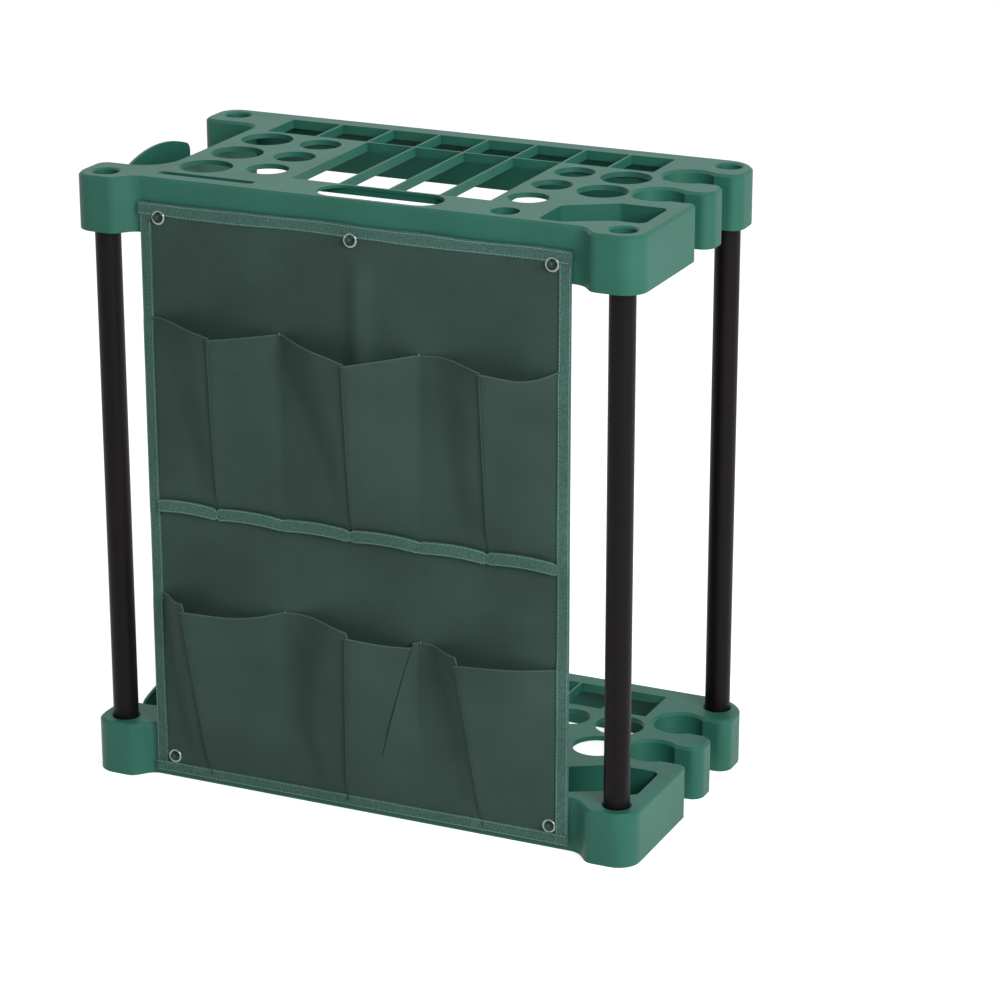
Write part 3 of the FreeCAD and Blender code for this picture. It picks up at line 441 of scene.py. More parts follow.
def soften_tray(node):
    """A copy of the tray's mesh with soft edges and with collars under its holes."""
    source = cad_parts[node]
    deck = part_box(node)[1][2]
    work = bmesh.new()
    work.from_mesh(source.data)
    work.transform(source.matrix_world)
    bmesh.ops.remove_doubles(work, verts=work.verts, dist=WELD)
    bmesh.ops.dissolve_limit(work, angle_limit=FLAT_ANGLE, verts=work.verts, edges=work.edges,
                             delimit={"NORMAL"})
    shorten_cell_walls(work, deck)
    holes = [loop for loop in rim_loops(work, deck) if loop[1] > SMALLEST_COLLAR]
    rims = bevel_sharp(work, lambda e: all(abs(v.co.z - deck) < SAME_LEVEL for v in e.verts),
                       RIM_RADIUS, 3)
    others = bevel_sharp(work, lambda e: any(abs(v.co.z - deck) > BELOW_RIM for v in e.verts),
                         EDGE_RADIUS, 2)
    for centre, radius in holes:
        collar(work, centre, radius, deck)
    bmesh.ops.recalc_face_normals(work, faces=work.faces)
    mesh = bpy.data.meshes.new(node + "_moulding")
    work.to_mesh(mesh)
    work.free()
    mesh.materials.append(PLASTIC)
    mesh.shade_smooth()
    mesh.set_sharp_from_angle(angle=SHARP_ANGLE)
    piece = bpy.data.objects.new(node + "_moulding", mesh)
    scene.collection.objects.link(piece)
    weights = piece.modifiers.new("even_shading", "WEIGHTED_NORMAL")
    weights.keep_sharp = True
    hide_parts(node)
    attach(piece, "rack")
    print(node, "rim edges", rims, "other edges", others, "collars", len(holes))


for node in ("upper_tray", "lower_tray"):
    soften_tray(node)

# %% [markdown]
# The tubes and pegs are already the right shape, so they keep their meshes and only take a
# finish.

# %% Tubes and pegs
for start, finish in (("tube_", STEEL), ("peg_", PEG_PLASTIC)):
    finished = [node for name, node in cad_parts.items() if name.startswith(start)]
    for node in finished:
        node.data.materials.clear()
        node.data.materials.append(finish)
    print(len(finished), "take", finish.name)

# %% [markdown]
# The pouch is one sheet of cloth on the pegs. Its planes come from the frame: the face of the
# back cloth, and the edges of the tapes round it. Folds and pockets are measured from that face,
# forwards to the viewer.

# %% Pouch datums
BACK_LOW, BACK_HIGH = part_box("pouch_back")
LEFT_LOW, LEFT_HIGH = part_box("tape_left")
RIGHT_LOW, RIGHT_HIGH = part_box("tape_right")
TOP_LOW, TOP_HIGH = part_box("tape_top")
FOOT_LOW, FOOT_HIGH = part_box("tape_bottom")
MIDDLE_LOW, MIDDLE_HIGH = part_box("tape_middle")
FACE_Y = BACK_LOW[1]
CLOTH_THICK = BACK_HIGH[1] - BACK_LOW[1]
TAPE_WIDTH = LEFT_HIGH[0] - LEFT_LOW[0]
TAPE_THICK = FACE_Y - TOP_LOW[1]
ROW_LEFT, ROW_RIGHT = LEFT_HIGH[0], RIGHT_LOW[0]
SEAM_X = (-77 * MM, 68 * MM)
EYELETS = {name[len("eyelet_"):]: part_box(name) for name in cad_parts
           if name.startswith("eyelet_")}


def eyelet_middle(place):
    low, high = EYELETS[place]
    return (low[0] + high[0]) / 2, (low[2] + high[2]) / 2


print("cloth face at y", round(FACE_Y, 4), "tape", round(TAPE_WIDTH / MM, 1), "mm wide")

# %% [markdown]
# Cloth has a thickness, and the back of the pouch shows from behind. A Solidify modifier could
# give it one. Here a helper does the same in code, so that each cloth is finished mesh: it makes
# a front from a grid of points, sets a copy of it back along the normals, and closes the border.

# %% Cloth sheets
def cloth_sheet(name, columns, rows, place, thick):
    """A sheet with a front and a back, from place(across, up) with both shares from 0 to 1."""
    front = [place(c / columns, r / rows) for r in range(rows + 1) for c in range(columns + 1)]
    wide = columns + 1
    back = []
    for r in range(rows + 1):
        for c in range(wide):
            here = front[r * wide + c]
            across = front[r * wide + min(c + 1, columns)] - front[r * wide + max(c - 1, 0)]
            up = front[min(r + 1, rows) * wide + c] - front[max(r - 1, 0) * wide + c]
            away = across.cross(up).normalized()
            back.append(here - away * thick)
    size = len(front)
    faces = []
    for r in range(rows):
        for c in range(columns):
            k = r * wide + c
            faces.append((k, k + 1, k + wide + 1, k + wide))
            faces.append((size + k, size + k + wide, size + k + wide + 1, size + k + 1))
    border = (list(range(columns)) + [r * wide + columns for r in range(rows)]
              + [rows * wide + c for c in range(columns, 0, -1)]
              + [r * wide for r in range(rows, 0, -1)])
    for k, after in zip(border, border[1:] + border[:1]):
        faces.append((k, size + k, size + after, after))
    return new_piece(name, front + back, faces, CLOTH, smooth=75)


print("cloth", round(CLOTH_THICK / MM, 2), "mm thick")

# %% [markdown]
# Between the trays nothing holds the back cloth, so it hangs in long shallow folds. The clearest
# one drops from the middle eyelet. A cloth simulation would let the folds fall where it likes, so
# they are smooth functions of place. They die out at the trays and under the tapes, so that the
# cloth never reaches the plastic behind it.

# %% Back cloth
COLUMNS, ROWS = 130, 110
SIDE_EASE = 50 * MM
FREE_FOOT, FOOT_EASE = 75 * MM, 40 * MM
HANG_GAP, HANG_EASE = 10 * MM, 30 * MM
FOLD_FOOT, FOLD_EASE = 380 * MM, 120 * MM
FOLD_SHIFT, FOLD_WIDTH, FOLD_HEIGHT = 7 * MM, 11 * MM, 5 * MM
DRIFT_ACROSS, DRIFT_UP, DRIFT_SEED = 11, 3.5, 3.1
DRIFT = 2.6 * MM
STAND_OFF = 0.8 * MM


def smooth_step(value):
    """Eases from 0 to 1 as the value goes from 0 to 1."""
    value = min(1, max(0, value))
    return value * value * (3 - 2 * value)


def hanging(x, z):
    """How far the back cloth stands out from its plane, towards the viewer."""
    middle_x, middle_z = eyelet_middle("top_middle")
    side = smooth_step((x - ROW_LEFT) / SIDE_EASE) * smooth_step((ROW_RIGHT - x) / SIDE_EASE)
    free = smooth_step((z - FREE_FOOT) / FOOT_EASE)
    below = smooth_step((middle_z - HANG_GAP - z) / HANG_EASE)
    drop = smooth_step((z - FOLD_FOOT) / FOLD_EASE)
    ridge = math.exp(-((x - middle_x - FOLD_SHIFT) / FOLD_WIDTH) ** 2) * FOLD_HEIGHT * drop
    drift = noise.noise(Vector((x * DRIFT_ACROSS, DRIFT_SEED, z * DRIFT_UP))) * DRIFT
    return (ridge + drift + STAND_OFF) * side * free * below


def back_place(across, up):
    x = BACK_LOW[0] + (BACK_HIGH[0] - BACK_LOW[0]) * across
    z = BACK_LOW[2] + (BACK_HIGH[2] - BACK_LOW[2]) * up
    return Vector((x, FACE_Y - hanging(x, z), z))


BACK = cloth_sheet("pouch_back_cloth", COLUMNS, ROWS, back_place, CLOTH_THICK)
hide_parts("pouch_back")
print("back cloth faces", len(BACK.data.polygons))

# %% [markdown]
# Each row of pockets is one ribbon, longer than the back cloth is wide. The spare length makes
# one knife pleat in each pocket: the cloth comes forward from the seam, passes behind the fold,
# turns back to it, and runs on from the sharp edge to the next seam. No two pockets of a sewn
# pouch are alike, so each has a line of its own in a table.
# Lengths in the table are in millimetres. A fold has its place at the foot and at the top, and
# the reach is how far it stands out. The drops say how far the top edge sags at the seam, behind
# the fold, at its tip and at the next seam. Bow and sag are added between these places.

# %% Pocket table
UPPER = dict(foot=MIDDLE_LOW[2] + 2 * MM, press=MIDDLE_HIGH[2], top=471 * MM,
             node="pocket_row_upper", pockets=(
                 dict(fold=(-148, -141), reach=27, drops=(-5, 2, 3.5, -3), bow=-2.5, sag=0,
                      bend=(0.35, 0.7, 0.85)),
                 dict(fold=(-5, 1.5), reach=30, drops=(-3, 9, 10.5, -0.5), bow=-2, sag=0,
                      bend=(0.15, 0.65, 0.9)),
                 dict(fold=(137, 139), reach=26, drops=(-0.5, 1, 2, -2), bow=-3, sag=7,
                      bend=(0.6, 0.6, 0.85))))
LOWER = dict(foot=FOOT_LOW[2] + 6 * MM, press=FOOT_HIGH[2], top=191 * MM,
             node="pocket_row_lower", pockets=(
                 dict(fold=(-164, -178), reach=26, drops=(-5, -6, 2, -5), bow=0, sag=5.5,
                      bend=(0.45, 0.5, 0.6)),
                 dict(fold=(-14, 0), reach=28, drops=(-5, -5, 0, 2.5), bow=-2.5, sag=2,
                      bend=(0.55, 0.3, 0.7)),
                 dict(fold=(130, 114), reach=27, drops=(2.5, 1, 9, 7.5), bow=0, sag=1,
                      bend=(0.55, 0.75, 0.8))))
print("pockets:", len(UPPER["pockets"]) + len(LOWER["pockets"]))

# %% [markdown]
# The cloth left of a fold is pulled tight from the top of its seam to the foot of the fold. So it
# bends along a slanting line: it stands out right of the line, and lies back left of it. The
# three shares under bend in the table say where the line is at the top, halfway and at the foot,
# from 0 at the seam to 1 at the fold.

# %% Left of a fold
BEND_TOP, BEND_FOOT = 0.9, 0.35
EVEN_SHARE = 0.3


def left_of_fold(cloth, u, share, out):
    """How far the cloth stands out at a share u of the way from the seam to the fold."""
    top, middle, foot = cloth["bend"]
    line = (foot * (1 - share) * (1 - 2 * share) + 4 * middle * share * (1 - share)
            + top * share * (2 * share - 1))
    width = BEND_FOOT + (BEND_TOP - BEND_FOOT) * share ** 2
    first, here, last = (smooth_step((at - line) / width + 0.5) for at in (0, u, 1))
    return out * (EVEN_SHARE * u + (1 - EVEN_SHARE) * (here - first) / (last - first))


print("halfway to the first fold:", round(left_of_fold(UPPER["pockets"][0], 0.5, 1, 1), 2))

# %% [markdown]
# A row is made as a stack of lines, one for each height. At the foot the pleats are pressed flat
# under the tape, and towards the top they open. Each line goes from seam to fold, turns behind
# the fold, and goes on to the next seam. The turn is listed as shares of the lap, which is how
# far the cloth passes the fold, and of the two layers of cloth there.

# %% Pocket lines
LAP = 5 * MM
LAYER = 1.2 * MM
FOOT_REACH = 0.6 * MM
TUCK = 2 * MM
LEFT_STEPS, RIGHT_STEPS = 24, 22
FOLD_TURN = ((0.5, 1), (1, 0.9), (1, 0.6), (0.5, 0.45))
TURN_DIP = 2.5 * MM
OPENING_CURVE, DROP_CURVE, SAG_SKEW = 0.8, 3, 1.3
RIGHT_SWELL = 0.1


def pocket_line(row, height):
    """The plan of a row at one height, as (x, reach, drop) points from left to right."""
    opened = max(0, (height - row["press"]) / (row["top"] - row["press"]))
    share = (height - row["foot"]) / (row["top"] - row["foot"])
    seams = (ROW_LEFT - TUCK, *SEAM_X, ROW_RIGHT + TUCK)
    line = [(seams[0], 0, 0)]
    for cloth, left, right in zip(row["pockets"], seams, seams[1:]):
        fold_low, fold_high = (x * MM for x in cloth["fold"])
        fold = fold_low + (fold_high - fold_low) * share
        out = FOOT_REACH + (cloth["reach"] * MM - FOOT_REACH) * opened ** OPENING_CURVE
        start, behind, tip, end, bow, sag = (
            drop * MM * share ** DROP_CURVE
            for drop in (*cloth["drops"], cloth["bow"], cloth["sag"]))
        under = min(2 * LAYER, out * 0.5)
        first, lap = left + TUCK, LAP * (0.5 + 0.5 * share)
        for step in range(LEFT_STEPS + 1):
            u = step / LEFT_STEPS
            line.append((first + (fold - first) * u,
                         left_of_fold(cloth, u, share, out - under),
                         start + (behind - start) * u + bow * math.sin(math.pi * u)))
        for part, layer in FOLD_TURN:
            line.append((fold + lap * part, out - under * layer, tip + TURN_DIP * opened))
        last = right - TUCK
        for step in range(RIGHT_STEPS + 1):
            v = step / RIGHT_STEPS
            line.append((fold + (last - fold) * v,
                         out * (1 - v + RIGHT_SWELL * math.sin(math.pi * v)),
                         tip + (end - tip) * v + sag * math.sin(math.pi * v ** SAG_SKEW)))
    line.append((seams[-1], 0, end))
    return line


print("points in a line:", len(pocket_line(UPPER, UPPER["top"])))

# %% [markdown]
# A crease slants across the right half of the middle lower pocket, as packing leaves it, and the
# cloth swells a little on both sides of it. A crease needs close points, so the points of each
# line are moved together where it passes.

# %% Crease
CREASE_FOOT, CREASE_TOP = 13 * MM, 60 * MM
CREASE_DEPTH, CREASE_DROP = 5.5 * MM, 5 * MM
CREASE_HALF, CREASE_PITCH = 1.6 * MM, 0.9 * MM
CREASE_STEP = RIGHT_STEPS - 5
CREASE_START, CREASE_EASE = 0.2, 3
SWELL_SHARE, SWELL_REACH = 0.6, 14 * MM


def with_crease(line, share):
    """Presses a slanting crease into the right half of the middle lower pocket."""
    crease = CREASE_FOOT + (CREASE_TOP - CREASE_FOOT) * share
    left_half = LEFT_STEPS + 1 + len(FOLD_TURN)
    first = 1 + left_half + RIGHT_STEPS + 1 + left_half
    places = line[first:first + RIGHT_STEPS + 1]
    fold, last = places[0][0], places[-1][0]
    depth = CREASE_DEPTH * smooth_step((share - CREASE_START) * CREASE_EASE)
    before, after = CREASE_STEP - 2, CREASE_STEP + 2
    for step in range(1, RIGHT_STEPS):
        if step <= before:
            x = fold + (crease - CREASE_HALF - fold) * step / before
        elif step < after:
            x = crease + (step - CREASE_STEP) * CREASE_PITCH
        else:
            x = crease + CREASE_HALF + ((last - crease - CREASE_HALF) * (step - after)
                                        / (RIGHT_STEPS - after))
        at = (x - fold) / (last - fold)
        near, part = divmod(at * RIGHT_STEPS, 1)
        near = min(int(near), RIGHT_STEPS - 1)
        out, drop = (a + (b - a) * part for a, b in zip(places[near][1:], places[near + 1][1:]))
        swell = math.exp(-abs(x - crease) / SWELL_REACH) * depth * SWELL_SHARE
        if step <= CREASE_STEP:
            drop += CREASE_DROP * share ** 6 * at
        else:
            swell *= 0.5
        groove = depth if step == CREASE_STEP else 0
        line[first + step] = (x, out + swell - groove, drop)
    return line


print("crease from x", CREASE_FOOT / MM, "to", CREASE_TOP / MM, "mm")

# %% [markdown]
# The lines are stacked into a grid, with a slight ripple where the cloth stands free, and the
# grid becomes a sheet with a front and a back.

# %% Pocket rows
POCKET_ROWS = 60
RIPPLE, RIPPLE_FREE = 2 * MM, 9 * MM
RIPPLE_ACROSS, RIPPLE_UP, RIPPLE_SEED = 14, 4, 7.7


def pocket_grid(row):
    """All points of a row, one list for each height."""
    grid = []
    for level in range(POCKET_ROWS + 1):
        share = level / POCKET_ROWS
        height = row["foot"] + (row["top"] - row["foot"]) * share
        line = pocket_line(row, height)
        if row is LOWER:
            line = with_crease(line, share)
        points = []
        for x, out, drop in line:
            z = height - drop
            wave = noise.noise(Vector((x * RIPPLE_ACROSS, z * RIPPLE_UP, RIPPLE_SEED))) * RIPPLE
            ahead = max(0, out) + wave * min(1, max(0, out) / RIPPLE_FREE)
            points.append(Vector((x, FACE_Y - CLOTH_THICK - ahead, z)))
        grid.append(points)
    return grid


def pocket_row(row):
    grid = pocket_grid(row)
    columns = len(grid[0]) - 1

    def place(across, up):
        return grid[round(up * POCKET_ROWS)][round(across * columns)]

    piece = cloth_sheet(row["node"] + "_cloth", columns, POCKET_ROWS, place, CLOTH_THICK * 0.7)
    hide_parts(row["node"])
    return piece, grid


def ribbon_length(line):
    return sum((b - a).length for a, b in zip(line, line[1:]))


UPPER_POCKETS, UPPER_GRID = pocket_row(UPPER)
LOWER_POCKETS, LOWER_GRID = pocket_row(LOWER)
print("ribbon lengths at the top, in metres:",
      [round(ribbon_length(grid[-1]), 3) for grid in (UPPER_GRID, LOWER_GRID)])

# %% [markdown]
# The raw top of each ribbon is turned over and stitched, which leaves a thin roll that catches
# the light. Its colour is also painted lighter than the pocket cloth, a painted highlight along the
# roll. It follows the top line of the pocket. Points closer than the roll is thick would pinch it,
# so they are left out.

# %% Pocket hems
HEM_RADIUS = 0.9 * MM
HEM_STEP = 1.2 * MM
HEM_SHIFT = Vector((0, 0.2 * MM, -0.2 * MM))
UPRIGHT = 1e-9


def frame_along(path, index):
    """Two directions across a path at one of its points."""
    ahead = path[min(index + 1, len(path) - 1)] - path[max(index - 1, 0)]
    side = ahead.cross(Vector((0, 0, 1)))
    if side.length < UPRIGHT:
        side = Vector((0, 1, 0))
    side.normalize()
    return side, side.cross(ahead).normalized()


def rope(path, radius, steps=8):
    """Points and faces of a round strand along a path."""
    rings = []
    for index, point in enumerate(path):
        side, up = frame_along(path, index)
        rings.append([point + (side * math.cos(t) + up * math.sin(t)) * radius
                      for t in (math.tau * k / steps for k in range(steps))])
    return sweep(rings)


def hem(grid, name):
    path = [grid[-1][0]]
    for point in grid[-1][1:]:
        if (point - path[-1]).length > HEM_STEP:
            path.append(point)
    points, faces = rope([p + HEM_SHIFT for p in path], HEM_RADIUS)
    return new_piece(name, points, faces, HEM_PAINTED_HIGHLIGHT, smooth=80)


# Painted highlight: the hem is pocket cloth, drawn a lighter green than the cloth it is turned
# from.
HEM_PAINTED_HIGHLIGHT = woven("turned_hem_painted_highlight", "#3A564F", "#456159", THREAD, 0.2, 0.1)
HEMS = [hem(UPPER_GRID, "pocket_hem_upper"), hem(LOWER_GRID, "pocket_hem_lower")]
print("hems", [h.name for h in HEMS])

# %% [markdown]
# Binding tape is a woven band, folded in half over the raw edge of the cloth and sewn through.
# Its section is a thin U, and the band's two woven borders are a little thicker than its middle.
# The section is swept along the edge. The band is never quite straight: it ripples where the
# stitching pulls it, most of all along the top, where it hangs between the eyelets. A curve with
# a bevel would ripple both skins alike, but only the front skin is free, so the sweep is done
# in code.

# %% Tape section
BEAD = 0.25 * MM
BORDER, BORDER_CREST = 2.2 * MM, 1.0 * MM
BEND_IN, BEND_OUT = 1.8 * MM, 0.5 * MM
BEND_DIP, BEND_DROP = 0.2 * MM, 0.9 * MM
FRONT = CLOTH_THICK / 2 + TAPE_THICK
REAR = -FRONT
FRONT_SKIN = [(TAPE_WIDTH, FRONT - TAPE_THICK), (TAPE_WIDTH, FRONT),
              (TAPE_WIDTH - BORDER_CREST, FRONT + BEAD), (TAPE_WIDTH - BORDER, FRONT),
              (TAPE_WIDTH * 0.5, FRONT), (BEND_IN, FRONT + BEAD * 0.4),
              (BEND_OUT, FRONT - BEND_DIP), (0, FRONT - BEND_DROP)]
REAR_SKIN = [(0, REAR + BEND_DROP), (BEND_OUT, REAR + BEND_DIP), (BEND_IN, REAR - BEAD * 0.2),
             (TAPE_WIDTH * 0.5, REAR), (TAPE_WIDTH - BORDER, REAR), (TAPE_WIDTH, REAR),
             (TAPE_WIDTH, REAR + TAPE_THICK)]
INNER_SKIN = [(TAPE_THICK, REAR + TAPE_THICK), (TAPE_THICK, FRONT - TAPE_THICK)]
TAPE_SECTION = FRONT_SKIN + REAR_SKIN + INNER_SKIN
print("section points", len(TAPE_SECTION), "thick", round((FRONT - REAR) / MM, 2), "mm")

# %% [markdown]
# A tape is told where its outer edge starts and ends, which way is inwards, and how it wanders:
# how far its inner border shifts, and how far its front skin leans forward. It notes two lines
# on its front, where the stitches go later.

# %% Folded tapes
TAPE_STEPS = 150
STITCH_INSET = 1.3 * MM
STITCH_LINES = []
EDGE_LEAN, BORDER_LEAN, REAR_LEAN = 0.4, 0.6, 0.1
CREST_SCALE, CREST_SEED = 6, 8.8


def add_tape(node, rings, lines):
    """Makes a tape from its rings, in place of its node, and notes its stitch lines."""
    points, faces = sweep(rings)
    piece = new_piece(node + "_band", points, faces, TAPE, smooth=60)
    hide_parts(node)
    STITCH_LINES.extend(lines)
    return piece


def tape_piece(node, start, end, inwards, wander, crest=0):
    """A folded tape on the edge of the cloth. The wander moves its inner edge, crest its outer."""
    middle_y = FACE_Y + CLOTH_THICK / 2
    rings, lines = [], ([], [])
    for step in range(TAPE_STEPS + 1):
        share = step / TAPE_STEPS
        shift, lean = wander(share)
        swing = 0.5 + noise.noise(Vector((share * CREST_SCALE, CREST_SEED, 0)))
        base = start.lerp(end, share) - inwards * swing * crest

        def skin(depth, y, stands_out=True):
            """The place this deep in the band, moved forward from y by the lean."""
            far = depth / TAPE_WIDTH
            point = base + inwards * (depth + shift * far)
            give = EDGE_LEAN + BORDER_LEAN * far if stands_out else REAR_LEAN
            return Vector((point.x, y - lean * give, point.z))

        for line, depth in zip(lines, (STITCH_INSET, TAPE_WIDTH - STITCH_INSET)):
            line.append(skin(depth, FACE_Y - TAPE_THICK))
        rings.append([skin(depth, middle_y - ahead, ahead > 0) for depth, ahead in TAPE_SECTION])
    return add_tape(node, rings, lines)


print("stitch lines", STITCH_INSET / MM, "mm in from both borders")

# %% [markdown]
# The side tapes run straight up and down. Where they also bind the ends of a pocket row, they
# stand further out by that layer.

# %% Side tapes
LOOSE = 0.25 * MM
SHIFT_SCALE, LEAN_SCALE, LEAN_SEED = 7, 9, 5
POCKET_LAYER = 1.6 * MM
SIDE_SHIFT = 0.5 * MM
SIDE_FOOT, SIDE_TOP = FOOT_LOW[2] + 2 * MM, TOP_HIGH[2] - 2 * MM
RISE_ABOVE, RISE_BELOW, RISE_EASE = 4 * MM, 8 * MM, 8 * MM


def slight(seed, size):
    """Small sideways and forwards ripples along a tape."""
    def wander(share):
        across = noise.noise(Vector((share * SHIFT_SCALE, seed, 0))) * size
        ahead = (0.5 + noise.noise(Vector((share * LEAN_SCALE, seed, LEAN_SEED)))) * LOOSE
        return across, max(0, ahead)
    return wander


def over_pockets(seed):
    """Ripples, and a rise where the side tape also binds the end of a pocket row."""
    plain = slight(seed, SIDE_SHIFT)

    def wander(share):
        across, ahead = plain(share)
        z = SIDE_FOOT + (SIDE_TOP - SIDE_FOOT) * share
        rise = max(smooth_step((row["top"] + RISE_ABOVE - z) / RISE_EASE)
                   * smooth_step((z - row["foot"] + RISE_BELOW) / RISE_EASE)
                   for row in (UPPER, LOWER))
        return across, ahead + rise * POCKET_LAYER
    return wander


TAPES = [tape_piece(node, Vector((x, 0, SIDE_FOOT)), Vector((x, 0, SIDE_TOP)),
                    Vector((inwards, 0, 0)), over_pockets(seed))
         for node, x, inwards, seed in (("tape_left", LEFT_LOW[0], 1, 1.3),
                                        ("tape_right", RIGHT_HIGH[0], -1, 4.1))]
print("side tapes", [t.name for t in TAPES])

# %% [markdown]
# The top and bottom tapes lie over the ends of the side tapes, so they stand a tape's thickness
# further out there, and sink back to the cloth between.

# %% Top and bottom tapes
END_EASE, END_RISE = 0.7, 0.9


def over_the_ends(seed, size, layer):
    """Ripples, with a rise at both ends where the tape crosses another."""
    plain = slight(seed, size)

    def wander(share):
        across, ahead = plain(share)
        lap = TAPE_WIDTH / (TOP_HIGH[0] - TOP_LOW[0])
        rise = max(1 - smooth_step((share - lap) / (lap * END_EASE)),
                   1 - smooth_step((1 - lap - share) / (lap * END_EASE)))
        return across, ahead + layer + rise * TAPE_THICK * END_RISE
    return wander


TAPES.append(tape_piece("tape_top", Vector((TOP_LOW[0] - 1.5 * MM, 0, TOP_HIGH[2])),
                        Vector((TOP_HIGH[0] + 0.5 * MM, 0, TOP_HIGH[2])), Vector((0, 0, -1)),
                        over_the_ends(2.2, 2.4 * MM, 0), crest=2.2 * MM))
TAPES.append(tape_piece("tape_bottom", Vector((FOOT_LOW[0], 0, FOOT_LOW[2])),
                        Vector((FOOT_HIGH[0], 0, FOOT_LOW[2])), Vector((0, 0, 1)),
                        over_the_ends(6.4, 0.8 * MM, POCKET_LAYER)))
print("tapes", len(TAPES))

# %% [markdown]
# The tape under the upper pockets closes their foot. It is a flat band, and it was sewn over the
# pressed pleats, so it bows a little in each span and nicks in at each pleat and seam.

# %% Middle tape
MIDDLE_STEPS = 240
MIDDLE_WIDTH = MIDDLE_HIGH[2] - MIDDLE_LOW[2]
FOOT_FOLDS = [cloth["fold"][0] * MM for cloth in UPPER["pockets"]]
BREAKS = (ROW_LEFT, FOOT_FOLDS[0], SEAM_X[0], FOOT_FOLDS[1], SEAM_X[1], FOOT_FOLDS[2], ROW_RIGHT)
BOW, SLOPE = 2.6 * MM, 0.006
OVER_LAYERS, ARCH_OUT = 1.0 * MM, 1.2 * MM
FOLD_NICK, SEAM_NICK, NICK_CURVE = 0.55, 0.2, 14


def round_outline(width, height, rounding, steps=4):
    """A rectangle with rounded corners about (0, 0), as (across, up) pairs."""
    outline = []
    for quarter, (sx, sy) in enumerate(((1, 1), (-1, 1), (-1, -1), (1, -1))):
        centre = (sx * (width / 2 - rounding), sy * (height / 2 - rounding))
        for step in range(steps + 1):
            turn = math.pi / 2 * (quarter + step / steps)
            outline.append((centre[0] + rounding * math.cos(turn),
                            centre[1] + rounding * math.sin(turn)))
    return outline


def bow_at(x):
    """How far the band arches at a place, from 0 to 1, and if the nearest break is a fold."""
    for start, end in zip(BREAKS, BREAKS[1:]):
        if x <= end:
            part = (x - start) / (end - start)
            near_fold = min(abs(x - fold) for fold in FOOT_FOLDS)
            return max(0, 4 * part * (1 - part)), near_fold < (end - start) / 2
    return 0, False


def middle_tape():
    rings, lines = [], ([], [])
    outline = round_outline(MIDDLE_WIDTH, TAPE_THICK, TAPE_THICK * 0.45, 3)
    for step in range(MIDDLE_STEPS + 1):
        x = ROW_LEFT - 1 * MM + (ROW_RIGHT - ROW_LEFT + 2 * MM) * step / MIDDLE_STEPS
        arch, at_fold = bow_at(x)
        z = (MIDDLE_LOW[2] + MIDDLE_HIGH[2]) / 2 + (arch - 0.5) * BOW - x * SLOPE
        y = (FACE_Y - CLOTH_THICK * 1.8 - TAPE_THICK * 0.5
             - (OVER_LAYERS + ARCH_OUT * arch ** 0.5))
        narrow = 1 - (FOLD_NICK if at_fold else SEAM_NICK) * (1 - arch) ** NICK_CURVE
        rings.append([Vector((x, y + ahead, z + up * narrow)) for up, ahead in outline])
        for line, side in zip(lines, (-1, 1)):
            line.append(Vector((x, y - TAPE_THICK / 2,
                                z + side * (MIDDLE_WIDTH / 2 - STITCH_INSET) * narrow)))
    return add_tape("tape_middle", rings, lines)


TAPES.append(middle_tape())
print("middle tape breaks at", [round(x / MM) for x in BREAKS])

# %% [markdown]
# The tapes are sewn with a lock stitch every 3.6 mm, close to both borders. Each stitch is a
# short strand whose ends dive into the band. Real thread is about 0.4 mm thick, and it is drawn
# at 0.7 mm so that it shows. The stitches follow the lines that the tapes noted, and a short
# upright run, a bar tack, holds the top of each seam. They all go into one mesh.

# %% Stitching
STITCH, STITCH_GAP = 3.6 * MM, 0.9 * MM
STITCH_POINTS = 4
STRAND_RADIUS = 0.36 * MM
STRAND_RISE, STRAND_SINK = 0.35 * MM, 0.12 * MM
BAR_TACK = 7 * MM


def along(line):
    """Returns a function from a length along a line to the place there, and the line's length."""
    reached = [0]
    for a, b in zip(line, line[1:]):
        reached.append(reached[-1] + (b - a).length)

    def place(length):
        length = min(max(length, 0), reached[-1])
        index = max(1, next(k for k, end in enumerate(reached) if end >= length))
        part = (length - reached[index - 1]) / (reached[index] - reached[index - 1])
        return line[index - 1].lerp(line[index], part)
    return place, reached[-1]


def bar_tacks():
    """Short upright runs of stitches at the top of each seam, which takes the strain."""
    runs = []
    for row in (UPPER, LOWER):
        for x, cloth in zip(SEAM_X, row["pockets"]):
            top = row["top"] - cloth["drops"][3] * MM
            y = FACE_Y - hanging(x, top) - CLOTH_THICK
            runs.append([Vector((x, y, top - 1 * MM)), Vector((x, y, top - 1 * MM + BAR_TACK))])
    return runs


def tape_stitches():
    points, faces = [], []
    for line in STITCH_LINES + bar_tacks():
        place, total = along(line)
        for number in range(int(total / STITCH)):
            path = []
            for step in range(STITCH_POINTS + 1):
                part = step / STITCH_POINTS
                at = place(number * STITCH + STITCH_GAP / 2 + (STITCH - STITCH_GAP) * part)
                rise = math.sin(math.pi * part) * STRAND_RISE - STRAND_SINK
                path.append(at - Vector((0, rise, 0)))
            more, skin = rope(path, STRAND_RADIUS, 6)
            base = len(points)
            points += more
            faces += [tuple(k + base for k in face) for face in skin]
    return new_piece("tape_stitches", points, faces, THREAD_FINISH, smooth=80)


STITCHES = tape_stitches()
print("stitching faces", len(STITCHES.data.polygons))

# %% [markdown]
# An eyelet is a short metal barrel pushed through the cloth and rolled over a washer behind. From
# the front only the rolled rim shows. A torus would do for the rim, but it has no barrel, so the
# whole section is drawn, a half round that runs into the barrel, and turned round the eyelet's
# own axis.

# %% Eyelets
EYELET_STEPS, ROLL_STEPS = 56, 8
BORE = 4.5 * MM
BARREL_WALL = 0.45 * MM


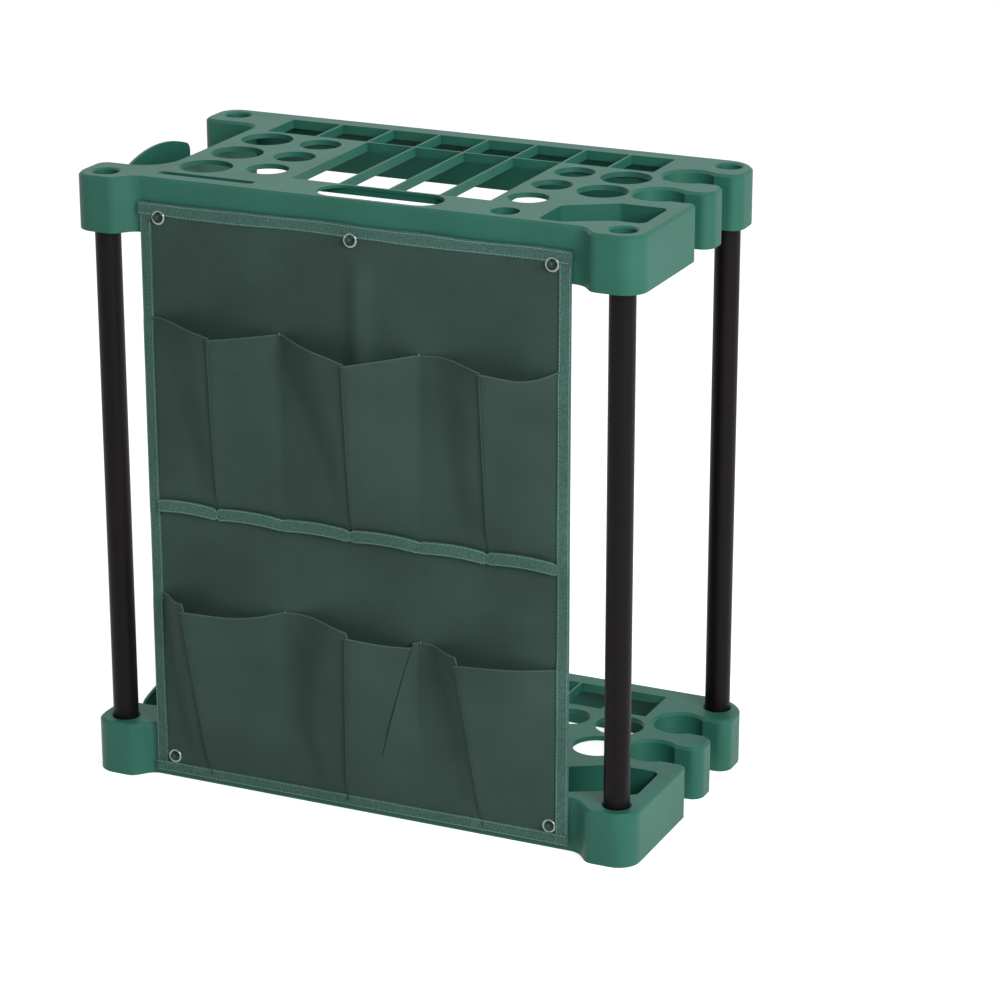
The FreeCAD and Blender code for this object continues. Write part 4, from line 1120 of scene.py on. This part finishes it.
def eyelet_piece(place):
    low, high = EYELETS[place]
    x, z = eyelet_middle(place)
    rim = (high[0] - low[0]) / 2
    seat, crest = high[1], high[1] - low[1]
    rear = FACE_Y + CLOTH_THICK + TAPE_THICK
    roll = []
    for step in range(ROLL_STEPS + 1):
        turn = math.pi * step / ROLL_STEPS
        roll.append(((rim + BORE) / 2 + (rim - BORE) / 2 * math.cos(turn),
                     seat - crest * math.sin(turn)))
    section = roll + [(BORE, rear + BARREL_WALL), (rim, rear + BARREL_WALL), (rim, rear),
                      (BORE + BARREL_WALL, rear), (BORE + BARREL_WALL, seat)]
    points, faces = turn_section(section, EYELET_STEPS,
                                 lambda across, up, y: Vector((x + across, y, z + up)))
    piece = new_piece("eyelet_rolled_" + place, points, faces, NICKEL)
    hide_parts("eyelet_" + place)
    return piece


RINGS = [eyelet_piece(place) for place in EYELETS]
print("eyelets", len(RINGS))

# %% [markdown]
# Each of the two ribbons of pockets has the size it was cut to. A ribbon is as long as its plan
# is when it is pulled straight, and as tall as the row plus the turned hem. It is a little shorter
# at the foot, where the pleats are pressed, so its area is printed as well.

# %% Cut sizes of the ribbons
HEM_TURN = 4 * MM


def ribbon_area(grid):
    """The area of a grid of points in square metres."""
    total = 0
    for low, high in zip(grid, grid[1:]):
        for a, b, c, d in zip(low, low[1:], high[1:], high):
            total += ((c - a).cross(d - b)).length / 2
    return total


for piece, grid, hemmed, row in ((UPPER_POCKETS, UPPER_GRID, HEMS[0], UPPER),
                                 (LOWER_POCKETS, LOWER_GRID, HEMS[1], LOWER)):
    flat = (ribbon_length(grid[-1]), row["top"] - row["foot"] + HEM_TURN)
    min(ribbon_area(grid), flat[0] * flat[1])
    print(piece.name, "flat", [round(v, 3) for v in flat], "area", round(ribbon_area(grid), 4))

# %% [markdown]
# The studio is a wide pale floor under an even sky. The camera sees both as white, and so do
# reflections and glass, but what falls on the rack is kept low, so that colours render about as
# they are written. The floor keeps the rack's shadow.

# %% White floor and world
FLOOR_HALF = 40
FLOOR_GLOW = 0.66
SKY = 0.3
WHITE = (1, 1, 1, 1)


def seen_directly(owner):
    """1 for rays that find a white studio: the camera's, a reflection's or one through glass."""
    rays = add_node(owner, "ShaderNodeLightPath").outputs
    pair = add_node(owner, "ShaderNodeMath", {0: rays["Is Camera Ray"], 1: rays["Is Glossy Ray"]},
                    operation="MAXIMUM")
    return add_node(owner, "ShaderNodeMath", {0: pair.outputs[0], 1: rays["Is Transmission Ray"]},
                    operation="MAXIMUM").outputs[0]


def studio_floor():
    material, surface = new_material("pale_floor", Roughness=0.9)
    surface.inputs["Base Color"].default_value = linear("#F4F4F2")
    glow = add_node(material, "ShaderNodeEmission", {"Color": WHITE, "Strength": FLOOR_GLOW})
    seen = add_node(material, "ShaderNodeMixShader", {"Fac": seen_directly(material)})
    both = add_node(material, "ShaderNodeAddShader")
    feed(material, surface.outputs["BSDF"], both.inputs[0])
    feed(material, glow.outputs["Emission"], both.inputs[1])
    feed(material, surface.outputs["BSDF"], seen.inputs[1])
    feed(material, both.outputs["Shader"], seen.inputs[2])
    output = material.node_tree.nodes["Material Output"]
    feed(material, seen.outputs["Shader"], output.inputs["Surface"])
    mesh = bpy.data.meshes.new("studio_floor")
    corners = [(x * FLOOR_HALF, y * FLOOR_HALF, 0) for x, y in ((-1, -1), (1, -1), (1, 1), (-1, 1))]
    mesh.from_pydata(corners, [], [(0, 1, 2, 3)])
    mesh.materials.append(material)
    floor = bpy.data.objects.new("studio_floor", mesh)
    scene.collection.objects.link(floor)


def studio_world():
    world = bpy.data.worlds.new("studio_world")
    world.use_nodes = True
    sky = world.node_tree.nodes["Background"]
    sky.inputs["Color"].default_value = WHITE
    strength = add_node(world, "ShaderNodeMapRange", {"Value": seen_directly(world),
                                                      "To Min": SKY, "To Max": 1})
    feed(world, strength.outputs[0], sky.inputs["Strength"])
    scene.world = world


studio_floor()
studio_world()
scene.view_settings.view_transform = "Standard"
print("floor", 2 * FLOOR_HALF, "m wide, sky", SKY)

# %% [markdown]
# Two square softboxes light the rack. The large one stands to the right of the front and shapes
# the pleats with its shadows. The weak one hangs above the back and lifts the decks. Both are
# aimed by turning their -Z axis, along which a Blender lamp shines, towards a point in the rack.

# %% Lamps
KEY_POWER, TOP_POWER = 74, 12


def lamp(name, place, target, size, power):
    data = bpy.data.lights.new(name, "AREA")
    data.shape = "SQUARE"
    data.size = size
    data.energy = power
    made = bpy.data.objects.new(name, data)
    made.location = place
    made.rotation_euler = (Vector(target) - Vector(place)).to_track_quat("-Z", "Y").to_euler()
    scene.collection.objects.link(made)


lamp("key_softbox", (2.4, -1.55, 1.75), (0, 0, 0.3), 1.3, KEY_POWER)
lamp("top_softbox", (-0.3, 0.9, 2.4), (0, 0, 0.5), 1.6, TOP_POWER)
print("lamp power", KEY_POWER, "and", TOP_POWER, "W")
